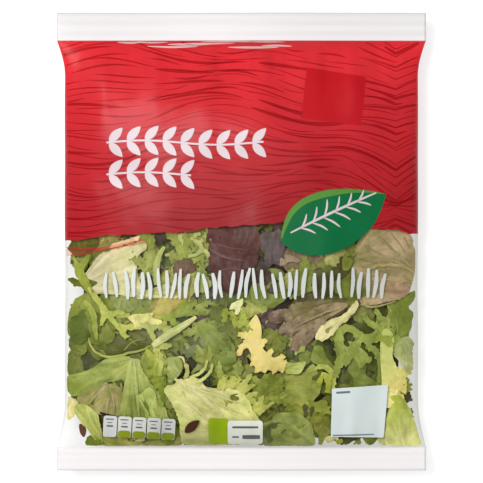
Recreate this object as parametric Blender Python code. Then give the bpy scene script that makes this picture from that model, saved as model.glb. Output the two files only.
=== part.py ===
"""A filled and sealed pillow bag of salad leaves.

The bag lies on its back with its printed front up: +Z out of the front, +Y to the
bag's top seal and +X to its right. The origin is under the middle of the bag, on the
surface it rests on. All sizes are in metres.
"""

import math

import bpy
from mathutils import Vector, noise

BAG_WIDTH = 0.220
BAG_LENGTH = 0.273
BODY_WIDTH = 0.2105

TOP_SEAL = 0.0167
BOTTOM_SEAL = 0.0137
SEAL_THICKNESS = 0.0009
SEAL_RIDGES = 3
RIDGE_HEIGHT = 0.00018
SEAL_WAVE = 0.0011
SEAL_WAVE_LENGTH = 0.150

# How far the sides draw in from the ends, and how far the bag takes to fill out.
TOP_TAPER = 0.022
BOTTOM_TAPER = 0.029
TOP_FILL_RUN = 0.074
BOTTOM_FILL_RUN = 0.058

# The side creases run this high above the table, with the front over them.
EDGE_HEIGHT = 0.0188
FRONT_RISE = 0.0262
BACK_DROP = 0.0212
CROSS_POWER = 2.4
CROSS_ROUND = 0.70
LENGTH_POWER = 2.2
LENGTH_ROUND = 0.78

LEAF_BUMP = 0.0020
LEAF_BUMP_LENGTH = 0.046
SMALL_BUMP = 0.0008
SMALL_BUMP_LENGTH = 0.023
SIDE_WANDER = 0.0005

GATHER_DEPTH = 0.0013
GATHER_SPACING = 0.031
GATHER_PEAK = 0.012

SEAM_WIDTH = 0.012
SEAM_STEP = 0.0005
SEAM_SLOPE = 0.0006

HALF_COLUMNS = 17
BODY_ROWS = 37


def clamp(value, low=0.0, high=1.0):
    return max(low, min(high, value))


def inset_from_seals(y):
    """How far y lies inside the top seal and inside the bottom seal."""
    top = BAG_LENGTH / 2 - TOP_SEAL - y
    bottom = BAG_LENGTH / 2 - BOTTOM_SEAL + y
    return max(0.0, top), max(0.0, bottom)


def half_width(y):
    """Half the bag's width at y: full at the seals, drawn in where it fills out."""
    top, bottom = inset_from_seals(y)
    drawn = min(
        math.sin(math.pi / 2 * clamp(top / TOP_TAPER)),
        math.sin(math.pi / 2 * clamp(bottom / BOTTOM_TAPER)),
    )
    wander = SIDE_WANDER * noise.noise(Vector((3.0, y / LEAF_BUMP_LENGTH, 0.0)))
    return BAG_WIDTH / 2 - drawn * ((BAG_WIDTH - BODY_WIDTH) / 2 + wander)


def rise_over(distance, run):
    """A rounded rise from 0 at the seal to 1 where the bag is full."""
    left = 1.0 - clamp(distance / run)
    return (1.0 - left**LENGTH_POWER) ** LENGTH_ROUND


def fullness(u, y):
    """0 at the seals and side creases, 1 over the middle. u runs from -1 to 1."""
    top, bottom = inset_from_seals(y)
    across = (1.0 - abs(u) ** CROSS_POWER) ** CROSS_ROUND
    return across * rise_over(top, TOP_FILL_RUN) * rise_over(bottom, BOTTOM_FILL_RUN)


def leaf_bumps(x, y, side):
    """The uneven push of the leaves against the film. side tells front from back."""
    large = noise.noise(Vector((x, y, side)) / LEAF_BUMP_LENGTH)
    small = noise.noise(Vector((x, y, side)) / SMALL_BUMP_LENGTH)
    return LEAF_BUMP * large + SMALL_BUMP * small


def gathers(x, y, side):
    """Creases that fan out of the seals, deepest a little way inside them."""
    depth = 0.0
    for inset in inset_from_seals(y):
        near = inset / GATHER_PEAK
        fade = near * math.exp(1.0 - near)
        turn = 1.5 * noise.noise(Vector((x / GATHER_SPACING, side, 7.0)))
        depth += fade * math.sin(2 * math.pi * x / GATHER_SPACING + turn + side)
    return GATHER_DEPTH * depth


def seal_ridge(y):
    """Height of the crimp lines that run along both seals."""
    top = y - (BAG_LENGTH / 2 - TOP_SEAL)
    bottom = -y - (BAG_LENGTH / 2 - BOTTOM_SEAL)
    for into_seal, band in ((top, TOP_SEAL), (bottom, BOTTOM_SEAL)):
        if 0.0 < into_seal < band:
            place = into_seal / band * SEAL_RIDGES % 1.0
            return RIDGE_HEIGHT if 0.30 < place < 0.70 else 0.0
    return 0.0


def middle_height(x):
    """Height of the flat seals and of the side creases."""
    return EDGE_HEIGHT + SEAL_WAVE * math.sin(2 * math.pi * x / SEAL_WAVE_LENGTH + 0.6)


def front_height(u, y):
    x = u * half_width(y)
    full = fullness(u, y)
    soft = clamp(2.0 * full)
    height = full * FRONT_RISE + soft * (leaf_bumps(x, y, 0.0) + gathers(x, y, 0.0))
    return middle_height(x) + SEAL_THICKNESS / 2 + seal_ridge(y) + max(0.0, height)


def back_seam(x):
    """The lap seam that stands proud down the middle of the back."""
    return SEAM_STEP * clamp((SEAM_WIDTH / 2 - abs(x)) / SEAM_SLOPE)


def back_height(u, y):
    x = u * half_width(y)
    full = fullness(u, y)
    soft = clamp(2.0 * full)
    drop = full * BACK_DROP + soft * (leaf_bumps(x, y, 9.0) + gathers(x, y, 2.0))
    below = SEAL_THICKNESS / 2 + seal_ridge(y) + max(0.0, drop) + back_seam(x)
    return max(0.0, middle_height(x) - below)


def columns():
    """Positions across the bag, from -1 to 1, closer together towards the sides."""
    seam_foot = SEAM_WIDTH / BODY_WIDTH
    seam_top = (SEAM_WIDTH - 2 * SEAM_SLOPE) / BODY_WIDTH
    half = [seam_top, seam_foot]
    for step in range(1, HALF_COLUMNS + 1):
        even = step / HALF_COLUMNS
        crowded = 0.5 * even + 0.5 * math.sin(math.pi / 2 * even)
        half.append(seam_foot + (1.0 - seam_foot) * crowded)
    return [-u for u in reversed(half)] + [0.0] + half


def seal_rows(inner, outer):
    """Positions along the bag that draw each crimp line of one seal."""
    rows = []
    for ridge in range(SEAL_RIDGES):
        for place in (0.0, 0.24, 0.36, 0.64, 0.76):
            rows.append(inner + (outer - inner) * (ridge + place) / SEAL_RIDGES)
    return rows + [outer]


def rows():
    """Positions along the bag, from the bottom edge to the top edge."""
    top_edge = BAG_LENGTH / 2
    bottom_inner = BOTTOM_SEAL - top_edge
    top_inner = top_edge - TOP_SEAL
    body = []
    for step in range(1, BODY_ROWS):
        even = step / BODY_ROWS
        crowded = even - 0.35 * math.sin(2 * math.pi * even) / (2 * math.pi)
        body.append(bottom_inner + (top_inner - bottom_inner) * crowded)
    bottom = list(reversed(seal_rows(bottom_inner, -top_edge)))
    return bottom + body + seal_rows(top_inner, top_edge)


def sheet_points(height, across, along):
    points = []
    for y in along:
        for u in across:
            points.append((u * half_width(y), y, height(u, y)))
    return points


def rim_indices(column_count, row_count):
    """The outline of one sheet, walked anticlockwise from its lower left corner."""
    last_column = column_count - 1
    last_row = row_count - 1
    rim = [column for column in range(column_count)]
    rim += [row * column_count + last_column for row in range(1, row_count)]
    rim += [last_row * column_count + c for c in range(last_column - 1, -1, -1)]
    rim += [row * column_count for row in range(last_row - 1, 0, -1)]
    return rim


def bag_mesh():
    """The front and back sheets, joined all the way round by a narrow rim."""
    across = columns()
    along = rows()
    width = len(across)
    front = sheet_points(front_height, across, along)
    back = sheet_points(back_height, across, along)
    offset = len(front)
    faces = []
    for row in range(len(along) - 1):
        for column in range(width - 1):
            low = row * width + column
            high = low + width
            faces.append((low, low + 1, high + 1, high))
            faces.append((offset + low, offset + high, offset + high + 1, offset + low + 1))
    rim = rim_indices(width, len(along))
    for here, after in zip(rim, rim[1:] + rim[:1]):
        faces.append((offset + here, offset + after, after, here))
    mesh = bpy.data.meshes.new("salad_bag")
    mesh.from_pydata(front + back, [], faces)
    mesh.shade_smooth()
    return mesh


def film_material():
    """Clear film over green leaves, as one even colour."""
    material = bpy.data.materials.new("filled_film")
    material.use_nodes = True
    shader = material.node_tree.nodes["Principled BSDF"]
    shader.inputs["Base Color"].default_value = (0.30, 0.30, 0.12, 1.0)
    shader.inputs["Roughness"].default_value = 0.30
    return material


for old in list(bpy.data.objects):
    bpy.data.objects.remove(old, do_unlink=True)

bag = bpy.data.objects.new("salad_bag", bag_mesh())
bag.data.materials.append(film_material())
bpy.context.scene.collection.objects.link(bag)
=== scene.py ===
"""Looks of the bag of salad leaves: clear film, its print, and the real leaves inside.

The bag lies on its back: +Z out of the printed front, +Y to its top seal. Sizes are in
metres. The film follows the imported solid, the leaves are pressed up against the film from
inside, and the print lies just under the film.
"""

import math

import bpy
import numpy as np
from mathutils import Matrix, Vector, geometry, noise


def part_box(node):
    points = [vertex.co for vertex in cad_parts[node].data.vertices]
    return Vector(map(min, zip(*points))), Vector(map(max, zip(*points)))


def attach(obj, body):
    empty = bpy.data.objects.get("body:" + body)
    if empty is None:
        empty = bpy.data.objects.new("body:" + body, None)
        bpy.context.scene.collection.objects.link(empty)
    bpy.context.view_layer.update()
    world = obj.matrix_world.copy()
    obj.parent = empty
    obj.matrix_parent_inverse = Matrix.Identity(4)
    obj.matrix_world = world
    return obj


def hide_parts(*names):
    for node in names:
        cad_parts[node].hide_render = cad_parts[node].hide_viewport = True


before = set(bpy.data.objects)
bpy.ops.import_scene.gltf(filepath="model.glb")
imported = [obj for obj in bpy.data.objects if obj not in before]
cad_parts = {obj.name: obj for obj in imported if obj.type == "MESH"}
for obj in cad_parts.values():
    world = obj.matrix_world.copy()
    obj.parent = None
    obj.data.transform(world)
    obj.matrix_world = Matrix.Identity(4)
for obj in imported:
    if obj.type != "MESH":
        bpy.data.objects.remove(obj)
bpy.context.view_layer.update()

LOW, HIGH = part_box("salad_bag")
WIDTH = HIGH.x - LOW.x
LENGTH = HIGH.y - LOW.y
TOP = LENGTH / 2
BOTTOM = -LENGTH / 2
MM = 0.001

# The filled shape, as in the solid.
BODY_WIDTH = 0.2105
TOP_SEAL = 0.0167
BOTTOM_SEAL = 0.0137
TOP_TAPER = 0.022
BOTTOM_TAPER = 0.029
TOP_FILL_RUN = 0.074
BOTTOM_FILL_RUN = 0.058
EDGE_HEIGHT = 0.0188
FRONT_RISE = 0.0262
BACK_DROP = 0.0212
CROSS_POWER = 2.4
CROSS_ROUND = 0.70
LENGTH_POWER = 2.2
LENGTH_ROUND = 0.78
LEAF_BUMP = 0.0020
LEAF_BUMP_LENGTH = 0.046
SMALL_BUMP = 0.0008
SMALL_BUMP_LENGTH = 0.023
SIDE_WANDER = 0.0005
GATHER_DEPTH = 0.0013
GATHER_SPACING = 0.031
GATHER_PEAK = 0.012
SEAL_WAVE = 0.0011
SEAL_WAVE_LENGTH = 0.150
SEAL_RIDGES = 3
RIDGE_HEIGHT = 0.00018
SEAM_WIDTH = 0.012
SEAM_STEP = 0.0005
SEAM_SLOPE = 0.0006

# The thin gap between the sheets at a seal, and finer creases than the solid holds.
SHEET_GAP = 0.00035
CRINKLE = 0.00028
CRINKLE_LENGTH = 0.011
FINE_GATHER = 0.0005
FINE_GATHER_SPACING = 0.0105
FINE_GATHER_PEAK = 0.006

# The film's mesh, and the bands of light and dark along a seal.
SEAL_BAND = 0.0058
SEAL_BLUR = 0.4 * MM
FILM_COLUMNS = 151
FILM_ROWS = 231

# The camera looks straight down from here and frames this much at the seals.
CAMERA_HEIGHT = 2.6
FRAMED = 0.288
SENSOR_WIDTH = 36.0

# Depths under the film: of the nearest leaves, and of each further layer.
LEAF_CLEARANCE = 0.0007
LAYER_STEP = 0.0023
LEAF_SWELL = 1.2 * MM
LAYER_SWELL = 0.5 * MM
PRESS_SOFTNESS = 0.4 * MM
DEEPEST_SHARE = 0.46

# Leaves stay this far inside the bottom seal, the top seal and the sides, and how softly.
BOTTOM_MARGIN = 0.5 * MM
TOP_MARGIN = 6.0 * MM
SIDE_MARGIN = 1.2 * MM
BOTTOM_SOFTNESS = 0.8 * MM
TOP_SOFTNESS = 4.0 * MM
SIDE_SOFTNESS = 0.6 * MM

# Strewn leaves are shifted whole until they lie this far inside.
BOTTOM_SHIFT_MARGIN = 1.0 * MM
TOP_SHIFT_MARGIN = 8.0 * MM
SIDE_SHIFT_MARGIN = 3.0 * MM

# The core: its depths under the front and the back, how far it ends inside the seals and
# sides, and its lumps.
CORE_DEPTH = 0.0165
CORE_BACK_DEPTH = 0.0055
CORE_BOTTOM_GAP = 7 * MM
CORE_TOP_GAP = 16 * MM
CORE_SIDE_GAP = 11 * MM
CORE_LUMP = 3.0 * MM
CORE_BACK_LUMP = 1.5 * MM
CORE_LUMP_LENGTH = 0.013
CORE_ROWS = 120
CORE_COLUMNS = 96

# Painted shade: how much darker each deeper layer of leaves is coloured, and the colour balance of
# each kind of leaf.
DEPTH_PAINTED_SHADE = 0.095
GREEN_TONE = (0.955, 0.94, 0.815)
PALE_TONE = (0.965, 0.945, 0.87)


def clamp(value, low=0.0, high=1.0):
    return max(low, min(high, value))


# ---------------------------------------------------------------- the film's shape


def inset_from_seals(y):
    """How far y lies inside the top seal and inside the bottom seal."""
    return max(0.0, TOP - TOP_SEAL - y), max(0.0, y - BOTTOM - BOTTOM_SEAL)


def half_width(y):
    """Half the bag's width at y: full at the seals, drawn in where it fills out."""
    top, bottom = inset_from_seals(y)
    drawn = min(
        math.sin(math.pi / 2 * clamp(top / TOP_TAPER)),
        math.sin(math.pi / 2 * clamp(bottom / BOTTOM_TAPER)),
    )
    wander = SIDE_WANDER * noise.noise(Vector((3.0, y / LEAF_BUMP_LENGTH, 0.0)))
    return WIDTH / 2 - drawn * ((WIDTH - BODY_WIDTH) / 2 + wander)


def rise_over(distance, run):
    """A rounded rise from 0 at the seal to 1 where the bag is full."""
    left = 1.0 - clamp(distance / run)
    return (1.0 - left**LENGTH_POWER) ** LENGTH_ROUND


def fullness(u, y):
    """0 at the seals and side creases, 1 over the middle. u runs from -1 to 1."""
    top, bottom = inset_from_seals(y)
    across = (1.0 - abs(u) ** CROSS_POWER) ** CROSS_ROUND
    return across * rise_over(top, TOP_FILL_RUN) * rise_over(bottom, BOTTOM_FILL_RUN)


def noise_at(x, y, side, spacing):
    """Smooth noise from -1 to 1. side keeps one face's noise apart from another's."""
    return noise.noise(Vector((x, y, side)) / spacing)


def creases(x, y, side, spacing, peak):
    """Creases that fan out of the seals, deepest a little way inside them."""
    depth = 0.0
    for inset in inset_from_seals(y):
        near = inset / peak
        fade = near * math.exp(1.0 - near)
        turn = 1.5 * noise.noise(Vector((x / spacing, side, 7.0)))
        depth += fade * math.sin(2 * math.pi * x / spacing + turn + side)
    return depth


def relief(x, y, side, gather_side):
    """The push of the leaves and the pull of the seals on the film."""
    bumps = LEAF_BUMP * noise_at(x, y, side, LEAF_BUMP_LENGTH)
    bumps += SMALL_BUMP * noise_at(x, y, side, SMALL_BUMP_LENGTH)
    bumps += CRINKLE * noise_at(x, y, side + 5.0, CRINKLE_LENGTH)
    bumps += GATHER_DEPTH * creases(x, y, gather_side, GATHER_SPACING, GATHER_PEAK)
    bumps += FINE_GATHER * creases(x, y, side, FINE_GATHER_SPACING, FINE_GATHER_PEAK)
    return bumps


def seal_ridge(y):
    """Height of the crimp lines that run along both seals."""
    top = y - (TOP - TOP_SEAL)
    bottom = BOTTOM + BOTTOM_SEAL - y
    for into_seal, band in ((top, TOP_SEAL), (bottom, BOTTOM_SEAL)):
        if 0.0 < into_seal < band:
            place = into_seal / band * SEAL_RIDGES % 1.0
            return RIDGE_HEIGHT if 0.30 < place < 0.70 else 0.0
    return 0.0


def middle_height(x):
    """Height of the flat seals and of the side creases."""
    return EDGE_HEIGHT + SEAL_WAVE * math.sin(2 * math.pi * x / SEAL_WAVE_LENGTH + 0.6)


def front_height(u, y):
    """Height of the front sheet."""
    x = u * half_width(y)
    full = fullness(u, y)
    lift = full * FRONT_RISE + clamp(2.0 * full) * relief(x, y, 0.0, 0.0)
    return middle_height(x) + SHEET_GAP / 2 + seal_ridge(y) + max(0.0, lift)


def back_height(u, y):
    """Height of the back sheet, which has a lap seam down its middle."""
    x = u * half_width(y)
    full = fullness(u, y)
    drop = full * BACK_DROP + clamp(2.0 * full) * relief(x, y, 9.0, 2.0)
    seam = SEAM_STEP * clamp((SEAM_WIDTH / 2 - abs(x)) / SEAM_SLOPE)
    below = SHEET_GAP / 2 + seal_ridge(y) + max(0.0, drop) + seam
    return max(0.0, middle_height(x) - below)


ROW_PLACES = np.linspace(BOTTOM, TOP, FILM_ROWS)
COLUMN_SHARES = np.linspace(-1.0, 1.0, FILM_COLUMNS)
ROW_HALF_WIDTHS = np.array([half_width(y) for y in ROW_PLACES])


def sheet_grid(height):
    """One side of the film as heights over an even grid of shares across and places along."""
    return np.array([[height(u, y) for u in COLUMN_SHARES] for y in ROW_PLACES])


FRONT_GRID = sheet_grid(front_height)
BACK_GRID = sheet_grid(back_height)


def half_widths(y):
    """Half the bag's width at many places along it."""
    return np.interp(y, ROW_PLACES, ROW_HALF_WIDTHS)


def read_grid(grid, x, y):
    """The film's height at any places x, y."""
    share = np.clip(x / half_widths(y), -1.0, 1.0)
    column = (share + 1.0) / 2 * (FILM_COLUMNS - 1)
    row = np.clip((y - BOTTOM) / LENGTH, 0.0, 1.0) * (FILM_ROWS - 1)
    left = np.minimum(column.astype(int), FILM_COLUMNS - 2)
    low = np.minimum(row.astype(int), FILM_ROWS - 2)
    across, up = column - left, row - low
    near = grid[low, left] * (1 - across) + grid[low, left + 1] * across
    far = grid[low + 1, left] * (1 - across) + grid[low + 1, left + 1] * across
    return near * (1 - up) + far * up


def to_bag(places):
    """Places on the front as the camera sees them, in millimetres, to places in metres.

    What is nearer to the camera than the seals looks larger, so it is drawn in.
    """
    seen = np.array(places, dtype=float) * MM
    near = CAMERA_HEIGHT - read_grid(FRONT_GRID, seen[..., 0], seen[..., 1])
    return seen * (near / (CAMERA_HEIGHT - EDGE_HEIGHT))[..., None]


def ink_heights(x, y, depth, grid):
    """Heights just under the film, or over it at the back, that never cross the far sheet."""
    front, back = read_grid(FRONT_GRID, x, y), read_grid(BACK_GRID, x, y)
    inset = np.minimum(depth, 0.3 * (front - back))
    return front - inset if grid is FRONT_GRID else back + inset


# ---------------------------------------------------------------- colour and nodes


def srgb(red, green, blue):
    """A colour given as on a screen, from 0 to 255, as the linear colour that nodes hold."""
    channels = []
    for value in (red, green, blue):
        share = value / 255
        channels.append(share / 12.92 if share <= 0.04045 else ((share + 0.055) / 1.055) ** 2.4)
    return (*channels, 1.0)


class Nodes:
    """A short way to write a material's nodes. Each method returns an output socket."""

    def __init__(self, name):
        self.material = bpy.data.materials.new(name)
        self.material.use_nodes = True
        self.tree = self.material.node_tree
        self.tree.nodes.clear()

    def put(self, kind, output, inputs, **settings):
        node = self.tree.nodes.new("ShaderNode" + kind)
        for key, value in settings.items():
            setattr(node, key, value)
        for key, value in inputs.items():
            if isinstance(value, bpy.types.NodeSocket):
                self.tree.links.new(value, node.inputs[key])
            else:
                node.inputs[key].default_value = value
        return node.outputs[output]

    def coordinates(self, kind="Object"):
        return self.put("TexCoord", kind, {})

    def attribute(self, name, output="Fac"):
        return self.put("Attribute", output, {}, attribute_name=name)

    def part(self, vector, axis):
        return self.put("SeparateXYZ", axis, {"Vector": vector})

    def maths(self, operation, first, second=0.0, third=0.0):
        return self.put("Math", 0, {0: first, 1: second, 2: third}, operation=operation)

    def ramp(self, value, low, high, start=0.0, end=1.0):
        """start below low, end above high, smooth between."""
        inputs = {"Value": value, "From Min": low, "From Max": high, "To Min": start, "To Max": end}
        return self.put("MapRange", "Result", inputs, interpolation_type="SMOOTHSTEP")

    def mix(self, factor, first, second, blend="MIX"):
        inputs = {"Factor": factor, 6: first, 7: second}
        return self.put("Mix", 2, inputs, data_type="RGBA", blend_type=blend)

    def tinted(self, colour, tint):
        return self.mix(1.0, colour, (*tint, 1.0), "MULTIPLY")

    def noise(self, vector, scale, detail=2.0, rough=0.5):
        inputs = {"Vector": vector, "Scale": scale, "Detail": detail, "Roughness": rough}
        return self.put("TexNoise", 0, inputs)

    def bump(self, height, strength, distance):
        inputs = {"Height": height, "Strength": strength, "Distance": distance}
        return self.put("Bump", 0, inputs)

    def principled(self, colour, rough, specular, **inputs):
        inputs |= {"Base Color": colour, "Roughness": rough, "Specular IOR Level": specular}
        return self.put("BsdfPrincipled", 0, inputs)

    def finish(self, shader):
        output = self.tree.nodes.new("ShaderNodeOutputMaterial")
        self.tree.links.new(shader, output.inputs["Surface"])
        return self.material


# ---------------------------------------------------------------- meshes and pieces


def grid_faces(rows, columns):
    """Four-cornered faces over a grid of points."""
    low = (np.arange(rows - 1)[:, None] * columns + np.arange(columns - 1)[None, :]).ravel()
    return np.stack([low, low + 1, low + columns + 1, low + columns], axis=1).tolist()


def closed_faces(rows, columns):
    """Faces of two grids of the same size, the second turned over, joined round their rims."""
    sheet = grid_faces(rows, columns)
    offset = rows * columns
    faces = sheet + [[offset + i for i in reversed(face)] for face in sheet]
    rim = list(range(columns))
    rim += [row * columns + columns - 1 for row in range(1, rows)]
    rim += [(rows - 1) * columns + column for column in range(columns - 2, -1, -1)]
    rim += [row * columns for row in range(rows - 2, 0, -1)]
    for here, after in zip(rim, rim[1:] + rim[:1]):
        faces.append([offset + here, offset + after, after, here])
    return faces


def new_mesh(name, points, faces):
    mesh = bpy.data.meshes.new(name)
    mesh.from_pydata(points.tolist(), [], faces)
    mesh.shade_smooth()
    return mesh


def closed_mesh(name, x, y, upper, lower):
    """A closed mesh between two heights over the same grid of places."""
    sheets = [np.stack([x, y, z], axis=-1).reshape(-1, 3) for z in (upper, lower)]
    return new_mesh(name, np.concatenate(sheets), closed_faces(*x.shape))


def add_piece(name, mesh, material):
    """Puts a mesh in the scene as a piece of the bag."""
    piece = bpy.data.objects.new(name, mesh)
    piece.data.materials.append(material)
    bpy.context.scene.collection.objects.link(piece)
    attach(piece, "root")
    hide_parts("salad_bag")
    return piece


def placed(x, y, turn, along, left):
    """A place found by going along the heading turn from x, y, then to the left of it."""
    cosine, sine = math.cos(math.radians(turn)), math.sin(math.radians(turn))
    return x + along * cosine - left * sine, y + along * sine + left * cosine


# ---------------------------------------------------------------- leaf shapes

# Each shape is (points, faces, uv, edge, share). The points are (x, y, out of the leaf),
# uv is (across the leaf's fan of veins, along it), edge runs from 0 inside to 1 on the rim,
# and share from 0 to 1 picks between a leaf's two colours.


def field(x, y, spacing, seed):
    """Smooth noise from -1 to 1 at many places."""
    return np.array([
        noise.noise(Vector((px / spacing, py / spacing, seed))) for px, py in zip(x, y)
    ])


def smooth_line(corners, step, closed):
    """A smooth curve through given corners, as points about step apart."""
    corners = np.array(corners, dtype=float)
    if closed:
        ring = np.concatenate([corners[-1:], corners, corners[:2]])
    else:
        first, last = 2 * corners[0] - corners[1], 2 * corners[-1] - corners[-2]
        ring = np.concatenate([[first], corners, [last]])
    curve = []
    for p0, p1, p2, p3 in zip(ring, ring[1:], ring[2:], ring[3:]):
        pieces = max(2, int(np.hypot(*(p2 - p1)[:2]) / step))
        t = np.linspace(0.0, 1.0, pieces, endpoint=False)[:, None]
        curve.append(0.5 * (2 * p1 + (p2 - p0) * t + (2 * p0 - 5 * p1 + 4 * p2 - p3) * t**2
                            + (3 * p1 - p0 - 3 * p2 + p3) * t**3))
    if not closed:
        curve.append(corners[-1:])
    return np.concatenate(curve)


def filled(outline, spacing, rng=None):
    """Triangles that fill an outline, with points inside it about spacing apart."""
    ring = [Vector(point) for point in outline]
    low, high = np.min(outline, axis=0), np.max(outline, axis=0)
    inner = []
    for step, y in enumerate(np.arange(low[1] + spacing / 2, high[1], spacing * 0.87)):
        for x in np.arange(low[0] + spacing / 2 * (step % 2), high[0], spacing):
            shift = rng.uniform(-0.15, 0.15, 2) * spacing if rng else (0.0, 0.0)
            place = np.array([x + shift[0], y + shift[1]])
            if np.min(np.hypot(*(np.asarray(outline) - place).T)) > 0.45 * spacing:
                inner.append(Vector(place))
    count = len(ring)
    edges = [(i, (i + 1) % count) for i in range(count)]
    result = geometry.delaunay_2d_cdt(ring + inner, edges, [list(range(count))], 1, 1e-7)
    flat, faces = np.array([tuple(p) for p in result[0]]), np.array(result[2])
    used, faces = np.unique(faces, return_inverse=True)
    return flat[used], faces.reshape(-1, 3).tolist()


def ragged(rng, outline, frill):
    """The outline with a torn, toothed edge, up to frill deep."""
    run = np.roll(outline, -1, 0) - np.roll(outline, 1, 0)
    normal = np.column_stack([run[:, 1], -run[:, 0]]) / np.hypot(*run.T)[:, None]
    place = np.arange(len(outline)) * 0.75
    seed = rng.uniform(0, 100)
    cusps = 1 - 3 * np.abs(field(place, place * 0, 2.6, seed))
    lobes = 1 - 3 * np.abs(field(place, place * 0, 7.5, seed + 9))
    strength = 0.6 + 0.8 * field(place, place * 0, 20.0, seed + 17)
    return outline + normal * (frill * strength * (0.8 * cusps + 1.1 * lobes))[:, None]


def drawn_leaf(rng, corners, root, relief, frill, pleats, ruffle):
    """A leaf with the outline given, veined from its root, in bag coordinates."""
    outline = ragged(rng, smooth_line(corners, 0.75 * MM, True), frill * MM)
    flat, faces = filled(outline, 1.0 * MM, rng)
    x, y = flat.T
    seed = rng.uniform(0, 100)
    rim_x, rim_y = outline.T
    rim_gap = np.array([np.min(np.hypot(rim_x - px, rim_y - py)) for px, py in flat])
    edge = 1.0 - np.clip(rim_gap / (3.5 * MM), 0, 1)
    away = flat - np.array(root)
    middle = away.mean(axis=0)
    angle = np.arctan2(away[:, 1], away[:, 0]) - math.atan2(middle[1], middle[0])
    angle = (angle + math.pi) % (2 * math.pi) - math.pi
    reach = np.hypot(*away.T)
    along = reach / reach.max()
    across = angle / max(0.15, np.abs(angle).max())

    def wave(spacing, step):
        return field(x, y, spacing * MM, seed + step)

    # Broad bumps, pleats along the veins, a ruffled rim, long folds, a rim that lifts and falls
    # as a whole, and small puckers.
    out = relief * (1.3 * wave(15, 2) + 0.7 * wave(7, 3))
    fold = 7.0 * across + 5 * wave(26, 4)
    out = out + pleats * (0.4 + along) * (np.sin(fold) + 0.5 * np.sin(2.3 * fold))
    out = out + ruffle * edge**2 * 1.8 * wave(4.5, 5)
    out = out + 1.5 * relief * (0.35 - np.abs(wave(19, 6)))
    out = out + edge**1.5 * (2.2 * wave(13, 7) - 0.4)
    out = out + 0.55 * (0.3 - np.abs(wave(5, 8))) + 0.3 * wave(2.8, 9)
    uv = np.column_stack([across / 2 + 0.5, along])
    share = np.clip(along + 0.5 * wave(9, 10), 0.0, 1.0)
    return np.column_stack([x, y, out * MM]), faces, uv, edge, share


def band(rng, path, width, taper, torn):
    """A curved strip, rounded across: a stem, a rib or a leaf's rolled rim."""
    line = smooth_line(path, 0.9 * MM, False)
    share = np.linspace(0.0, 1.0, len(line))
    run_x, run_y = np.gradient(line[:, 0]), np.gradient(line[:, 1])
    size = np.hypot(run_x, run_y)
    w = np.linspace(-1.0, 1.0, 7)[None, :]
    rounding = np.sin(math.pi * np.clip(share * 0.94 + 0.03, 0, 1)) ** 0.3
    half = width / 2 * (1 - taper * share) * rounding
    place = share * size.sum() / (2.5 * MM)
    seed = rng.uniform(0, 100)
    left = half * (1 + torn * field(place, place * 0, 1.0, seed))
    right = half * (1 + torn * field(place, place * 0, 1.0, seed + 5))
    half = np.where(w < 0, right[:, None], left[:, None])
    x = line[:, :1] - (run_y / size)[:, None] * half * w
    y = line[:, 1:] + (run_x / size)[:, None] * half * w
    rim = field(place, place * 0, 1.3, seed + 8)[:, None]
    out = 0.4 * half * (1 - w**2) + torn * 0.5 * MM * w**2 * rim
    points = np.stack([x, y, out], axis=-1).reshape(-1, 3)
    uv = np.stack(np.broadcast_arrays(w / 2 + 0.5, share[:, None]), axis=-1).reshape(-1, 2)
    edge = np.broadcast_to(np.abs(w), x.shape).reshape(-1)
    along = np.broadcast_to(share[:, None], x.shape).reshape(-1)
    return points, grid_faces(*x.shape), uv, edge, along


def walk(start, heading, turning, length, steps):
    """Points along a curving line from start, and its heading at each."""
    headings = heading + turning * np.linspace(0.0, 1.0, steps)
    step = length / (steps - 1)
    x = start[0] + np.concatenate([[0.0], np.cumsum(np.cos(headings[:-1]))]) * step
    y = start[1] + np.concatenate([[0.0], np.cumsum(np.sin(headings[:-1]))]) * step
    return x, y, headings


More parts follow.
